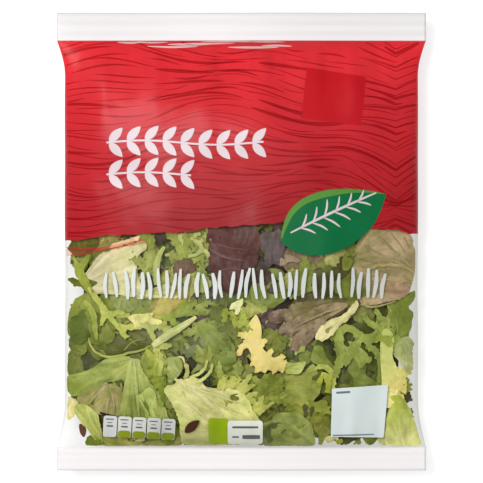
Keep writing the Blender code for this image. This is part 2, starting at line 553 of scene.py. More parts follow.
class Lace:
    """Limbs that melt into one thin sheet where they meet: a leaf's rib, lobes and teeth."""

    def __init__(self):
        self.limbs = []

    def limb(self, x, y, half, lift, share):
        """A limb through points x, y, with its half width, height and tone at each."""
        ends = np.column_stack(np.broadcast_arrays(x, y, half, lift, share))
        self.limbs.append(np.hstack([ends[:-1], ends[1:]]))

    def toothed(self, rng, x, y, headings, half, lift, share, teeth, tooth):
        """A limb with teeth that lean forward down both its sides."""
        self.limb(x, y, half, lift, share)
        along = np.linspace(0.0, 1.0, len(x))
        for j in range(teeth):
            spot = 0.12 + 0.88 * (j + rng.uniform(0.0, 0.9)) / teeth
            flank = 1 if j % 2 else -1
            tx, ty, heading, wide, tz, tone = (
                np.interp(spot, along, line) for line in (x, y, headings, half, lift, share))
            out = heading + flank * math.radians(rng.uniform(35, 85))
            tip = out - flank * rng.uniform(0.2, 0.9)
            reach = 0.9 * wide + tooth * rng.uniform(0.4, 1.3)
            px, py = (
                start + reach * np.array([0.0, 0.6 * turn(out), 0.6 * turn(out) + 0.4 * turn(tip)])
                for start, turn in ((tx, math.cos), (ty, math.sin)))
            thick = np.array([0.30 * wide + 0.38 * MM, 0.08 * tooth + 0.22 * MM, 0.12 * MM])
            rise = tz + rng.uniform(-0.5, 0.5) * reach * np.array([0.0, 0.5, 1.0])
            self.limb(px, py, thick, rise, np.minimum(1.0, tone + np.array([0.0, 0.15, 0.35])))

    def shape(self, cell, melt=0.42 * MM):
        """The sheet as a fine grid, its outermost points drawn onto its outline."""
        x0, y0, half0, lift0, share0, x1, y1, half1, lift1, share1 = np.concatenate(self.limbs).T
        margin = max(half0.max(), half1.max()) + 2 * cell
        columns, rows = (
            np.arange(min(a.min(), b.min()) - margin, max(a.max(), b.max()) + margin, cell)
            for a, b in ((x0, x1), (y0, y1)))
        x, y = np.meshgrid(columns, rows)
        px, py = x.reshape(-1, 1), y.reshape(-1, 1)
        run_x, run_y = x1 - x0, y1 - y0
        part = np.clip(((px - x0) * run_x + (py - y0) * run_y) / (run_x**2 + run_y**2), 0.0, 1.0)
        gap = np.hypot(px - x0 - run_x * part, py - y0 - run_y * part)
        inside = half0 + (half1 - half0) * part - gap
        most = inside.max(axis=1, keepdims=True)
        weight = np.exp((inside - most) / melt)
        total = weight.sum(axis=1)
        depth = (most[:, 0] + melt * np.log(total / 2)).reshape(x.shape)
        lift = (weight * (lift0 + (lift1 - lift0) * part)).sum(axis=1) / total
        share = (weight * (share0 + (share1 - share0) * part)).sum(axis=1) / total
        slope_y, slope_x = np.gradient(depth, cell)
        pull = np.clip(-depth / np.maximum(slope_x**2 + slope_y**2, 0.4), 0.0, cell)
        inner = depth > 0
        row, column = np.nonzero(inner[:-1, :-1] | inner[1:, :-1] | inner[:-1, 1:] | inner[1:, 1:])
        low = row * len(columns) + column
        quads = np.stack([low, low + 1, low + len(columns) + 1, low + len(columns)], axis=1)
        used, quads = np.unique(quads, return_inverse=True)
        flat = np.column_stack([(x + slope_x * pull).ravel(), (y + slope_y * pull).ravel()])[used]
        edge = 1.0 - np.clip(depth.ravel()[used] / (1.4 * MM), 0, 1)
        points = np.column_stack([flat, lift[used]])
        return points, quads.reshape(-1, 4).tolist(), flat / (60 * MM) + 0.5, edge, share[used]


def crinkled(rng, shape, lift, spacing, rim_lift):
    """A cut leaf with folds of height lift, spacing apart, and finer ones along its rim."""
    points, faces, uv, edge, share = shape
    x, y, out = points.T
    seed = rng.uniform(0, 100)
    out = out + lift * MM * field(x, y, spacing * MM, seed)
    out = out + edge**2 * rim_lift * MM * field(x, y, 3.5 * MM, seed + 3)
    return np.column_stack([x, y, out]), faces, uv, edge, share


# How far apart the teeth of a cut leaf drawn from given limbs stand.
TOOTH_SPACING = 0.9 * MM

# Forms of cut leaf. Widths and teeth are in millimetres, and lobes and curl are shares.
FRISEE = dict(lobe=0.38, pairs=5, rib=1.1, wide=0.7, teeth=8, tooth=3.3, sweep=0.8, curl=0.5)
SPRIG = dict(lobe=0.50, pairs=3, rib=0.8, wide=0.6, teeth=6, tooth=2.7, sweep=1.0, curl=0.5)
TORN = dict(lobe=0.34, pairs=3, rib=1.8, wide=4.0, teeth=11, tooth=2.2, sweep=0.4, curl=0.22)


def lacy_leaf(rng, length, lobe, pairs, rib, wide, teeth, tooth, sweep, curl, cell=0.6):
    """A cut leaf: a rib, lobes down both sides that curl out of the leaf, and teeth."""
    lace = Lace()
    share = np.linspace(0.0, 1.0, 12)
    x, y, headings = walk((0.0, 0.0), math.pi / 2 - sweep / 2, sweep, length, 12)
    x = x + 0.04 * length * np.sin(5 * share + rng.uniform(0, 6))
    lift = 0.05 * length * np.sin(5 * share + rng.uniform(0, 6))
    lace.limb(x, y, rib * MM * (1 - 0.6 * share), lift, 0.3 * share)
    along = np.linspace(0.0, 1.0, 7)
    for k in range(2 * pairs + 1):
        last = k == 2 * pairs
        place = 0.97 if last else clamp(0.12 + 0.84 * (k + rng.uniform(-0.4, 0.4)) / (2 * pairs))
        hand = 1 if k % 2 else -1
        bx, by, bz, heading = (np.interp(place, share, line) for line in (x, y, lift, headings))
        away = 0.0 if last else hand * math.radians(rng.uniform(35, 80) * (1 - 0.4 * place))
        longest = math.sin(math.pi * (0.18 + 0.70 * place)) ** 0.8
        size = length * lobe * longest * rng.uniform(0.6, 1.3)
        lx, ly, lh = walk((bx, by), heading + away, -hand * rng.uniform(-0.3, 1.4), size, 7)
        swell = 0.55 + 0.45 * np.sin(math.pi * along**0.8)
        fat = wide * MM * rng.uniform(0.7, 1.3) * swell * (1 - 0.7 * along**3)
        rise = bz + rng.uniform(-1.0, 1.0) * curl * size * along**1.5
        lace.toothed(rng, lx, ly, lh, fat, rise, 0.30 + 0.45 * along, teeth, tooth * MM)
    return crinkled(rng, lace.shape(cell * MM), 1.0, 9, 1.2)


# ---------------------------------------------------------------- laying leaves in the bag


def soft_stop(value, limit, softness):
    """value, eased to stay over limit."""
    over = (value - limit) / softness
    return limit + softness * np.logaddexp(0.0, over)


def soft_under(depth, limit):
    """depth, eased to stay under limit."""
    return limit * (1 - np.exp(-depth / limit))


def keep_inside(x, y):
    """Squeezes places that run past the filled part of the bag back into it."""
    low, high = BOTTOM + BOTTOM_SEAL + BOTTOM_MARGIN, TOP - TOP_SEAL - TOP_MARGIN
    y = soft_stop(y, low, BOTTOM_SOFTNESS)
    y = -soft_stop(-y, -high, TOP_SOFTNESS)
    limit = half_widths(y) - SIDE_MARGIN
    x = soft_stop(x, -limit, SIDE_SOFTNESS)
    return -soft_stop(-x, -limit, SIDE_SOFTNESS), y


def pulled_in(shape):
    """Shifts a leaf that would poke out of the bag's sides or ends back inside."""
    points, *rest = shape
    x, y, out = points.T
    y = y + max(0.0, BOTTOM + BOTTOM_SEAL + BOTTOM_SHIFT_MARGIN - y.min())
    y = y - max(0.0, y.max() - (TOP - TOP_SEAL - TOP_SHIFT_MARGIN))
    limit = half_widths(y) - SIDE_SHIFT_MARGIN
    x = x + max(0.0, (-limit - x).max())
    x = x - max(0.0, (x - limit).max())
    return (np.column_stack([x, y, out]), *rest)


def press(shape, layer, face="front"):
    """Presses a leaf against the film. Leaves of a higher layer lie deeper in the bag."""
    points, faces, uv, edge, share = shape
    x, y, out = points.T
    x, y = keep_inside(x, y)
    front, back = read_grid(FRONT_GRID, x, y), read_grid(BACK_GRID, x, y)
    nearest = LEAF_CLEARANCE + LAYER_STEP * max(0.0, layer)
    middle = nearest + LEAF_SWELL + LAYER_SWELL * layer
    sink = soft_stop(middle - out, nearest, PRESS_SOFTNESS)
    sink = soft_under(sink, DEEPEST_SHARE * (front - back))
    z = front - sink if face == "front" else back + sink
    return np.column_stack([x, y, z]), faces, uv, edge, share


def turned(shape, x, y, turn, roll, pitch):
    """Moves a leaf's base to x, y and points it along turn. roll and pitch tilt it, in degrees."""
    points, *rest = shape
    across, along, out = points.T
    out = out + across * math.tan(math.radians(roll)) + along * math.tan(math.radians(pitch))
    return (np.column_stack([*placed(x, y, turn, along, -across), out]), *rest)


class Heap:
    """Leaves of one kind, joined into one mesh."""

    def __init__(self, name, balance=GREEN_TONE):
        self.name, self.balance = name, balance
        self.points, self.faces, self.uv, self.edge, self.tone = [], [], [], [], []
        self.count = 0

    def add(self, shape, near, far, layer=0.0):
        """near is the colour at a leaf's root, far at its tip. Deep leaves get painted shade: their
        colours are darker.
        """
        points, faces, uv, edge, share = shape
        # Painted shade: the colours darken with each layer deeper in the bag.
        depth_shade = 1.0 - DEPTH_PAINTED_SHADE * max(0.0, layer)
        near, far = (
            [value * share * depth_shade for value, share in zip(colour, self.balance)]
            for colour in (near, far))
        self.faces += [tuple(i + self.count for i in face) for face in faces]
        self.count += len(points)
        self.points.append(points)
        self.uv.append(uv + (len(self.uv), 0))
        self.edge.append(edge)
        near, far, share = np.array(srgb(*near)), np.array(srgb(*far)), share[:, None]
        self.tone.append(near * (1 - share) + far * share)

    def build(self, material):
        mesh = new_mesh(self.name, np.concatenate(self.points), self.faces)
        corners = np.empty(len(mesh.loops), np.int32)
        mesh.loops.foreach_get("vertex_index", corners)
        layer = mesh.uv_layers.new(name="leaf")
        layer.data.foreach_set("uv", np.concatenate(self.uv)[corners].ravel())
        edge = mesh.attributes.new("edge", "FLOAT", "POINT")
        edge.data.foreach_set("value", np.concatenate(self.edge))
        tone = mesh.attributes.new("tone", "FLOAT_COLOR", "POINT")
        tone.data.foreach_set("color", np.concatenate(self.tone).ravel())
        return add_piece(self.name, mesh, material)


# ---------------------------------------------------------------- leaf materials

# A leaf's lighter, darker and greener parts, as shares of its own tone.
LIGHTER = (1.36, 1.30, 1.46)
DARKER = (0.52, 0.57, 0.45)
GREENER = (0.74, 0.90, 0.50)


def leaf_material(name, veins=7, vein_lift=0.35, rim_lift=0.0, blotched=1.0, greener=0.25):
    """A leaf in its own tone, with soft fanning veins, blotched skin and a rim lightened as a
    painted highlight.

    Each leaf's uv starts at its own whole number, which moves the streaks but not the veins.
    """
    nodes = Nodes(name)
    place = nodes.coordinates()
    uv = nodes.put("UVMap", 0, {}, uv_map="leaf")
    tone = nodes.attribute("tone", "Color")
    light, dark = nodes.tinted(tone, LIGHTER), nodes.tinted(tone, DARKER)
    broad = nodes.noise(place, 48.0, 3.0, 0.55)
    patchy = nodes.noise(place, 150.0, 3.0, 0.55)
    fine = nodes.noise(place, 430.0, 4.0, 0.6)
    body = tone
    for mottle, low, high, start, end, shade in (
        (broad, 0.34, 0.50, 0.40 * blotched, 0.0, dark),
        (broad, 0.52, 0.68, 0.0, 0.35, light),
        (patchy, 0.30, 0.48, 0.45 * blotched, 0.0, dark),
        (patchy, 0.54, 0.68, 0.0, 0.30, light),
        (fine, 0.34, 0.50, 0.35 * blotched, 0.0, dark),
    ):
        body = nodes.mix(nodes.ramp(mottle, low, high, start, end), body, shade)
    green_patches = nodes.ramp(nodes.noise(place, 62.0, 2.0, 0.5), 0.46, 0.64, 0.0, greener)
    body = nodes.mix(green_patches, body, nodes.tinted(body, GREENER))
    height = nodes.maths("MULTIPLY_ADD", fine, 0.5, patchy)
    if veins:
        wander = nodes.noise(place, 70.0, 3.0)
        across = nodes.maths("MULTIPLY_ADD", wander, 0.10, nodes.part(uv, "X"))
        reach = nodes.part(uv, "Y")
        along_veins = nodes.put("CombineXYZ", 0, {
            "X": nodes.maths("MULTIPLY", across, 9.0), "Y": nodes.maths("MULTIPLY", reach, 2.0)})
        streaks = nodes.noise(along_veins, 1.0, 3.0, 0.6)
        body = nodes.mix(nodes.ramp(streaks, 0.50, 0.66, 0.0, 0.55), body, dark)
        body = nodes.mix(nodes.ramp(streaks, 0.48, 0.34, 0.0, 0.6), body, light)
        nearest = nodes.maths("PINGPONG", nodes.maths("MULTIPLY", across, float(veins)), 0.5)
        width = nodes.maths("DIVIDE", 0.028, nodes.maths("ADD", reach, 0.12))
        veining = nodes.ramp(nearest, nodes.maths("MULTIPLY", width, 0.2), width, 1.0, 0.0)
        veining = nodes.maths("MULTIPLY", veining, nodes.ramp(patchy, 0.34, 0.54))
        body = nodes.mix(nodes.maths("MULTIPLY", veining, vein_lift), body, light)
        height = nodes.maths("ADD", nodes.maths("MULTIPLY_ADD", veining, 0.8, height), streaks)
    # Painted highlight: rim_lift lightens the rim, as thin leaf edges catch the light.
    if rim_lift:
        rim = nodes.ramp(nodes.attribute("edge"), 0.45, 1.0)
        body = nodes.mix(nodes.maths("MULTIPLY", rim, rim_lift), body, light)
    rough = nodes.ramp(patchy, 0.2, 0.8, 0.34, 0.54)
    normal = nodes.bump(height, 0.4 * blotched, 0.0012)
    return nodes.finish(nodes.principled(body, rough, 0.12, Normal=normal))


def core_material():
    """The leaves deep in the bag, coloured dark as painted shade."""
    nodes = Nodes("deep_leaves")
    place = nodes.coordinates()
    large = nodes.ramp(nodes.noise(place, 55.0, 4.0, 0.6), 0.38, 0.62)
    streaks = nodes.ramp(nodes.noise(place, 160.0, 3.0, 0.6), 0.42, 0.66)
    body = nodes.mix(large, srgb(62, 63, 34), srgb(86, 88, 44))
    body = nodes.mix(nodes.maths("MULTIPLY", streaks, 0.5), body, srgb(98, 102, 48))
    normal = nodes.bump(nodes.noise(place, 190.0, 4.0, 0.6), 0.8, 0.002)
    return nodes.finish(nodes.principled(body, 0.6, 0.0, Normal=normal))


# ---------------------------------------------------------------- the leaves

green = Heap("leaves_green")
pale = Heap("leaves_pale", PALE_TONE)
red = Heap("leaves_red", PALE_TONE)
frisee = Heap("frisee_green")
yellow = Heap("frisee_yellow", PALE_TONE)
stems = Heap("leaf_stems", PALE_TONE)
deep_frisee = Heap("frisee_deep")
deep_green = Heap("leaves_deep")
under_frisee = Heap("frisee_under")
under_green = Heap("leaves_under")


def own_rng(place):
    """Random draws for the leaf at a place, so that each leaf stays the same when others change."""
    return np.random.default_rng([round(10 * (value + 500)) for value in place[:2]])


def draw(heap, layer, near, far, root, corners, relief=1.3, frill=0.4, pleats=0.35, ruffle=1.0):
    """A broad leaf by its outline, veined from its root."""
    rng = own_rng(corners[0])
    shape = drawn_leaf(rng, to_bag(corners), to_bag(root), relief, frill, pleats, ruffle)
    heap.add(press(shape, layer), near, far, layer)


def strip(layer, near, far, width, path, taper=0.3, torn=0.8, heap=stems):
    """A stem or a rolled rim by its path."""
    shape = band(own_rng(path[0]), to_bag(path), width * MM, taper, torn)
    heap.add(press(shape, layer), near, far, layer)


def ribs(layer, near, far, width, root, tips):
    """Ribs that fan out over a leaf from its root."""
    for tip in tips:
        rng = own_rng(tip)
        start = np.array(root) + rng.uniform(0.04, 0.22) * (np.array(tip) - root)
        middle = (start + tip) / 2 + rng.uniform(-1.0, 1.0, 2)
        wide = width * rng.uniform(0.6, 1.3)
        strip(layer, near, far, wide, [start, middle, tip], taper=0.5, torn=0.3)


def lace(heap, layer, near, far, limbs, tooth=2.0, curl=0.8):
    """A cut leaf from listed limbs: each limb is a path of (x, y, half width), toothed down both
    sides.
    """
    whole, rng = Lace(), own_rng(limbs[0][0])
    for limb in limbs:
        path = smooth_line(limb, 2.0, False)
        x, y = to_bag(path[:, :2]).T
        headings = np.unwrap(np.arctan2(np.gradient(y), np.gradient(x)))
        share = np.linspace(0.0, 1.0, len(path))
        lift = curl * MM * (np.sin(5 * share + rng.uniform(0, 6)) + rng.uniform(-1, 1) * share)
        half = np.maximum(path[:, 2], 0.2) * MM
        teeth = int(np.hypot(np.diff(x), np.diff(y)).sum() / TOOTH_SPACING)
        whole.toothed(rng, x, y, headings, half, lift, 0.2 + 0.5 * share, teeth, tooth * MM)
    shape = crinkled(rng, whole.shape(0.5 * MM), curl, 8, 1.0)
    heap.add(press(shape, layer), near, far, layer)


def curly(heap, layer, near, far, x, y, turn, length, roll=0.0, pitch=0.0, face="front",
          rng=None, **form):
    """A frisee leaf, or a torn one, from x, y."""
    shape = lacy_leaf(rng or own_rng((x, y)), length * MM, **(FRISEE | form))
    x, y = to_bag((x, y))
    shape = pulled_in(turned(shape, x, y, turn, roll, pitch))
    heap.add(press(shape, layer, face), near, far, layer)


def gaps(layer, near, far, outlines, relief=0.4, frill=0.4):
    """Dark leaves laid in the gaps between leaves as painted shade, each by its outline."""
    for corners in outlines:
        draw(green, layer, near, far, corners[0], corners, relief, frill)


# Tones that several leaves share.
MID = (146, 156, 76)
OLIVE = (122, 128, 58)
DEEP = (92, 100, 44)
SHADE = (74, 76, 42)


def upper_left_leaves():
    draw(pale, 0.2, (206, 198, 174), (202, 198, 160), (-98, -27), [
        (-94, -20.5), (-90, -14.5), (-85, -8), (-77, -4.5), (-68, -2), (-60, 0.5), (-56.5, -1),
        (-57, -5), (-61, -8), (-62.5, -13), (-62, -19), (-60, -26), (-61, -31), (-66, -33),
        (-74, -31.5), (-82, -31.5), (-88, -30.5), (-89.5, -27.5), (-86, -24.5), (-91, -22.5)],
        relief=0.8, pleats=0.25)
    lace(pale, -0.1, (222, 190, 158), (212, 184, 146), [
        [(-80, -4.8, 0.1), (-76, -2.4, 0.5), (-71, -0.8, 0.6), (-66, 0.6, 0.5), (-61, 2.0, 0.1)]],
        tooth=1.6)
    draw(pale, 0.5, (196, 194, 140), (204, 200, 148), (-88, -28), [
        (-64, -28), (-57, -29), (-50, -27), (-45, -25), (-41, -27), (-37, -33.5), (-46, -34),
        (-56, -34), (-64, -34)], relief=0.6)
    draw(green, 1, MID, (128, 138, 62), (-66, -50), [
        (-84, -32), (-76, -29), (-66, -29), (-56, -28), (-49, -31), (-47, -38), (-54, -45),
        (-62, -45), (-70, -43), (-76, -47), (-81, -41)])
    draw(green, 0.8, (186, 180, 100), (166, 158, 78), (-57, -46), [
        (-48, -32), (-42, -29), (-37, -28), (-35, -34), (-38, -40), (-45, -44), (-49, -47),
        (-56, -46), (-52, -40)], frill=0.8)
    draw(green, 0.9, (160, 166, 116), (148, 158, 100), (-70, -28), [
        (-78, -32), (-70, -30), (-64, -32), (-62, -37), (-66, -42), (-73, -41), (-77, -37)])
    draw(green, 0.7, (170, 152, 92), (176, 166, 84), (-46, -30), [
        (-55, -35), (-48, -34), (-40, -34), (-34, -30), (-31, -33), (-35, -38), (-39, -42),
        (-45, -45), (-51, -46), (-55, -43)], frill=0.9)
    draw(green, 0.6, (112, 118, 38), (100, 106, 34), (-92, -25), [
        (-104, -22), (-101, -21), (-97, -22.5), (-94, -24), (-93, -28), (-97, -27.5), (-100, -27),
        (-102, -24.5)], frill=0.8)
    draw(green, 0.6, (138, 142, 68), (130, 134, 62), (-98, -19), [
        (-98, -17), (-96, -13), (-92, -10), (-88, -7), (-91, -13), (-94, -18)])
    draw(green, 1.4, OLIVE, DEEP, (-96, -14), [
        (-104, -3), (-98, 3), (-90, 5), (-84, 0), (-88, -6), (-94, -10), (-101, -8)], frill=0.8)
    draw(green, 1, (150, 160, 80), (118, 130, 56), (-92, -30), [
        (-98, -33), (-92, -30.5), (-86, -33.5), (-83, -39), (-81.5, -46), (-79, -51), (-75, -55),
        (-77, -60), (-84, -62), (-91, -61), (-99, -60), (-104, -54), (-103.5, -44), (-101, -37)],
        frill=0.6, relief=2.0, pleats=0.6)
    draw(green, 0.3, (96, 110, 52), (84, 98, 42), (-92, -42), [
        (-98, -41), (-93.5, -41), (-91, -46), (-90.5, -53), (-93, -60), (-100, -61), (-103.4, -53),
        (-103.4, -45)], frill=2.2, relief=0.8)
    draw(green, 0.15, (86, 98, 46), (92, 104, 50), (-86, -40), [
        (-86, -42), (-84.5, -46), (-84, -52), (-85, -55), (-86.5, -50)], frill=0.2, relief=0.5)
    strip(0.05, (158, 168, 88), (136, 148, 66), 4.2, [
        (-94, -35), (-89.5, -41), (-87.5, -49), (-86.5, -59)], torn=0.4)
    lace(frisee, 0.1, (166, 176, 84), (120, 130, 52), [
        [(-100, -9, 0.5), (-98, -14, 1.2), (-97, -18, 2.2), (-93.5, -24, 2.4), (-90, -30, 1.4)],
        [(-97, -18, 1.5), (-94, -13, 1.6), (-91, -8, 0.8)]], tooth=1.2)
    lace(frisee, 0.15, (188, 194, 118), (160, 168, 86), [
        [(-91, -28, 1.2), (-86, -35, 1.1), (-81, -41, 0.8), (-77, -47, 0.9), (-72, -53, 0.4)],
        [(-84, -37, 0.8), (-82, -44, 0.7), (-84, -50, 0.3)],
        [(-78, -45, 0.7), (-74, -42, 0.5), (-70, -43, 0.3)]], tooth=1.3)
    lace(pale, 0, (204, 202, 136), (194, 194, 122), [
        [(-67, -45.5, 1.0), (-63, -46, 2.8), (-58.5, -46.5, 2.6), (-54, -47.5, 1.6),
         (-48, -48, 0.6)],
        [(-63, -47, 2.0), (-62, -49.5, 1.3), (-63, -51.5, 0.4)],
        [(-58, -46, 1.6), (-56, -44, 1.0), (-53, -43.6, 0.4)]], tooth=0.9)
    lace(frisee, 0.25, (186, 190, 116), (150, 160, 74), [
        [(-80, -42, 0.7), (-76, -43, 1.3), (-72, -44, 1.2), (-67, -44, 0.5)],
        [(-77, -47, 0.9), (-72, -51, 1.2), (-65, -51, 1.2), (-58, -50, 1.2), (-52, -50.5, 1.0),
         (-45, -48, 0.5)],
        [(-72, -51, 0.9), (-71, -55, 0.8), (-68, -57, 0.3)],
        [(-56, -50, 1.0), (-54, -54, 1.1), (-52, -59, 0.6)],
        [(-50, -50, 0.8), (-46, -52, 0.8), (-42, -52, 0.3)]], tooth=1.7)
    draw(green, 1.0, (134, 136, 72), (120, 124, 60), (-96, -24), [
        (-95, -20), (-88, -20), (-84, -26), (-88, -31), (-95, -28)], frill=0.6)
    lace(frisee, 0.5, (158, 172, 64), (96, 112, 34), [
        [(-50, -46, 0.8), (-44, -45, 1.4), (-38, -43, 1.4), (-32, -42, 1.2), (-26, -43, 0.5)],
        [(-42, -45, 1.2), (-40, -49, 1.2), (-36, -51, 0.5)],
        [(-34, -42, 1.2), (-31, -38, 1.2), (-27, -36, 0.5)],
        [(-38, -43, 1.2), (-36, -39, 1.0), (-33, -35, 0.4)]], tooth=2.2)
    draw(green, 1.7, (84, 94, 36), (72, 82, 34), (-36, -40), [
        (-46, -44), (-38, -40), (-30, -35), (-24, -36), (-25, -44), (-32, -48), (-42, -50)],
        relief=1.0)
    draw(green, 3, SHADE, SHADE, (-58, -50), [
        (-66, -55), (-58, -52), (-50, -54), (-46, -58), (-50, -62), (-58, -61), (-64, -59)])
    curly(frisee, 0.8, (176, 182, 108), (124, 132, 58), -60, -22, 84, 24, lobe=0.4)
    curly(frisee, 0.7, (178, 186, 112), (120, 128, 54), -38, -18, 98, 26, lobe=0.42)
    curly(frisee, 1.0, (170, 176, 100), (130, 136, 64), -24, -16, 80, 26, lobe=0.42)
    curly(frisee, 1.2, (170, 176, 100), (120, 128, 60), -45, -8, 20, 28, lobe=0.4)
    curly(frisee, 0.9, (190, 194, 118), (158, 160, 78), -30, -37, 140, 22, lobe=0.5)
    strip(0.5, (176, 184, 112), (180, 188, 118), 4.6, [
        (-51, -26), (-51, -16), (-49, -8), (-46, -3)], torn=0.3)
    lace(frisee, 0.6, (166, 176, 92), (118, 128, 54), [
        [(-38, -18, 1.2), (-35, -10, 1.5), (-33, -3, 1.6), (-30, 4, 0.9)],
        [(-34, -6, 1.2), (-28, -3, 1.2), (-25, 2, 0.6)],
        [(-36, -12, 1.2), (-29, -11, 1.4), (-23, -7, 1.3), (-21, 1, 0.7)],
        [(-33, -4, 1.2), (-38, 1, 1.2), (-40, 6, 0.5)]], tooth=2.2)
    lace(frisee, 0.1, (186, 192, 138), (152, 160, 106), [
        [(-38.6, -5.0, 0.1), (-34.3, -1.5, 0.3), (-30, 1.0, 0.35), (-26, -0.5, 0.35),
         (-23.4, -4.2, 0.3), (-26.6, -7.6, 0.2), (-31.6, -8.8, 0.05)],
        [(-30, 1.0, 0.25), (-27.6, 3.8, 0.15), (-24.6, 4.6, 0.05)],
        [(-26, -0.5, 0.25), (-22.6, 1.4, 0.15), (-21.4, 4.6, 0.05)],
        [(-34.3, -1.5, 0.25), (-36.6, 1.6, 0.15), (-36.2, 4.8, 0.05)],
        [(-23.4, -4.2, 0.25), (-20.6, -6.2, 0.15), (-20.0, -9.4, 0.05)]], tooth=1.3, curl=1.2)
    draw(green, 0.25, (98, 98, 56), (88, 86, 52), (-33, -3), [
        (-34, -4.4), (-32, -1.8), (-29, -1.0), (-26.6, -3.2), (-28, -6.0), (-32, -7.0)],
        frill=0.8, relief=0.5)
    draw(red, 1.6, (78, 60, 54), (84, 62, 54), (-46, -10), [
        (-60, 2), (-52, 8), (-40, 10), (-30, 9), (-36, 3), (-46, 0), (-56, -6)], frill=0.6)
    draw(red, 0.35, (112, 86, 72), (104, 80, 68), (-34, -22), [
        (-41, -16), (-36, -10), (-29, -11), (-27, -17), (-33, -21), (-39, -21)])


def upper_middle_leaves():
    strip(0.3, (112, 88, 88), (100, 74, 74), 1.8, [
        (-18, -5.2), (-12, -8.4), (-5, -10.6), (2, -11.4)], heap=red)
    strip(0.3, (104, 80, 82), (94, 66, 66), 1.3, [
        (-15, -1.2), (-8, -3.6), (0, -4.8), (6, -4.2)], heap=red)
    strip(0.3, (102, 74, 72), (96, 66, 62), 1.3, [
        (-12, -17), (-5, -16), (2, -18), (7, -22)], heap=red)
    draw(red, 0.8, (72, 34, 34), (90, 52, 48), (-3, -36), [
        (-20, 6), (-12, 9), (0, 11), (9, 8), (12, 1), (10.5, -8), (9, -14), (5, -21), (0, -29),
        (-7, -32), (-14, -26), (-19, -15), (-21, -5)], relief=1.6, pleats=0.6)
    draw(red, 0.6, (70, 46, 54), (86, 56, 60), (-14, -16), [
        (-22, 8), (-16, 9), (-13, 3), (-15, -4), (-20, -4)], relief=1.6)
    draw(red, 0.7, (72, 60, 66), (104, 92, 100), (20, -26), [
        (12, 5), (15, 7.4), (18, 6.4), (22, 8), (26, 5), (25.4, 1), (27.4, -2), (25.6, -7),
        (26.2, -11), (23, -14.6), (19, -13.6), (15.6, -17), (12.8, -13), (13.2, -9), (10.5, -2)],
        relief=2.0, frill=1.0)
    draw(red, 0.5, (162, 146, 126), (140, 120, 106), (24, -8), [
        (23.4, -9.4), (26.6, -7.0), (31, -8.8), (35, -11.4), (32.4, -13.8), (27.4, -12.4),
        (22.4, -14.2)], frill=0.9, relief=0.8)
    draw(red, 1.3, (138, 122, 96), (128, 108, 92), (38, -18), [
        (23, -5), (31, -4), (42, -6), (48, -10), (46, -16), (36, -19), (26, -17)])
    draw(green, 1.2, (146, 160, 82), (130, 144, 70), (6, -44), [
        (9, -18), (18, -16), (28, -20), (30, -30), (22, -38), (12, -43), (4, -43), (3, -34),
        (6, -26)])
    draw(green, 1.7, (112, 124, 62), (124, 136, 66), (-22, -46), [
        (-24, -30), (-10, -29), (2, -30), (4, -38), (-4, -46), (-16, -48), (-26, -44)], frill=0.8)
    draw(green, 1.5, (104, 100, 66), (96, 92, 64), (50, -20), [
        (36, -12), (46, -8), (60, -4), (66, -10), (64, -22), (56, -32), (44, -36), (34, -36),
        (32, -24)])
    draw(green, 0.8, (150, 160, 84), (128, 140, 62), (62, -18), [
        (60, -16), (61, -9), (66, -3), (69, -6), (67, -12), (64, -17)])
    curly(frisee, 0.9, (150, 160, 84), (120, 130, 60), 30, -34, 70, 22, lobe=0.4)
    curly(frisee, 1.0, (214, 210, 160), (150, 150, 90), 44, -10, 20, 16, lobe=0.4)
    lace(frisee, 0.3, (178, 188, 88), (122, 134, 44), [
        [(0, -40, 1.0), (1.5, -45, 1.3), (-1, -50, 1.2), (-6, -51.5, 1.1), (-10, -47, 1.2),
         (-10, -41, 0.9)],
        [(-5, -51, 0.9), (-4, -46, 1.1), (-6, -42, 0.8)],
        [(1, -46, 0.9), (4, -50, 0.9), (5, -54, 0.4)]], tooth=2.0)
    lace(pale, 0, (212, 214, 174), (190, 198, 140), [
        [(-7, -40.5, 0.5), (-4.5, -38.5, 1.5), (-2, -37.5, 1.6), (0.5, -35, 0.6)],
        [(-3, -38.5, 1.2), (-2, -41, 1.0), (-3, -43, 0.4)]], tooth=1.0)
    curly(frisee, 1.3, (176, 184, 96), (124, 134, 54), 0, -58, 120, 18, lobe=0.5, sweep=1.4)
    curly(frisee, 1.0, (160, 170, 90), (104, 114, 46), -30, -36, -20, 26, lobe=0.4)


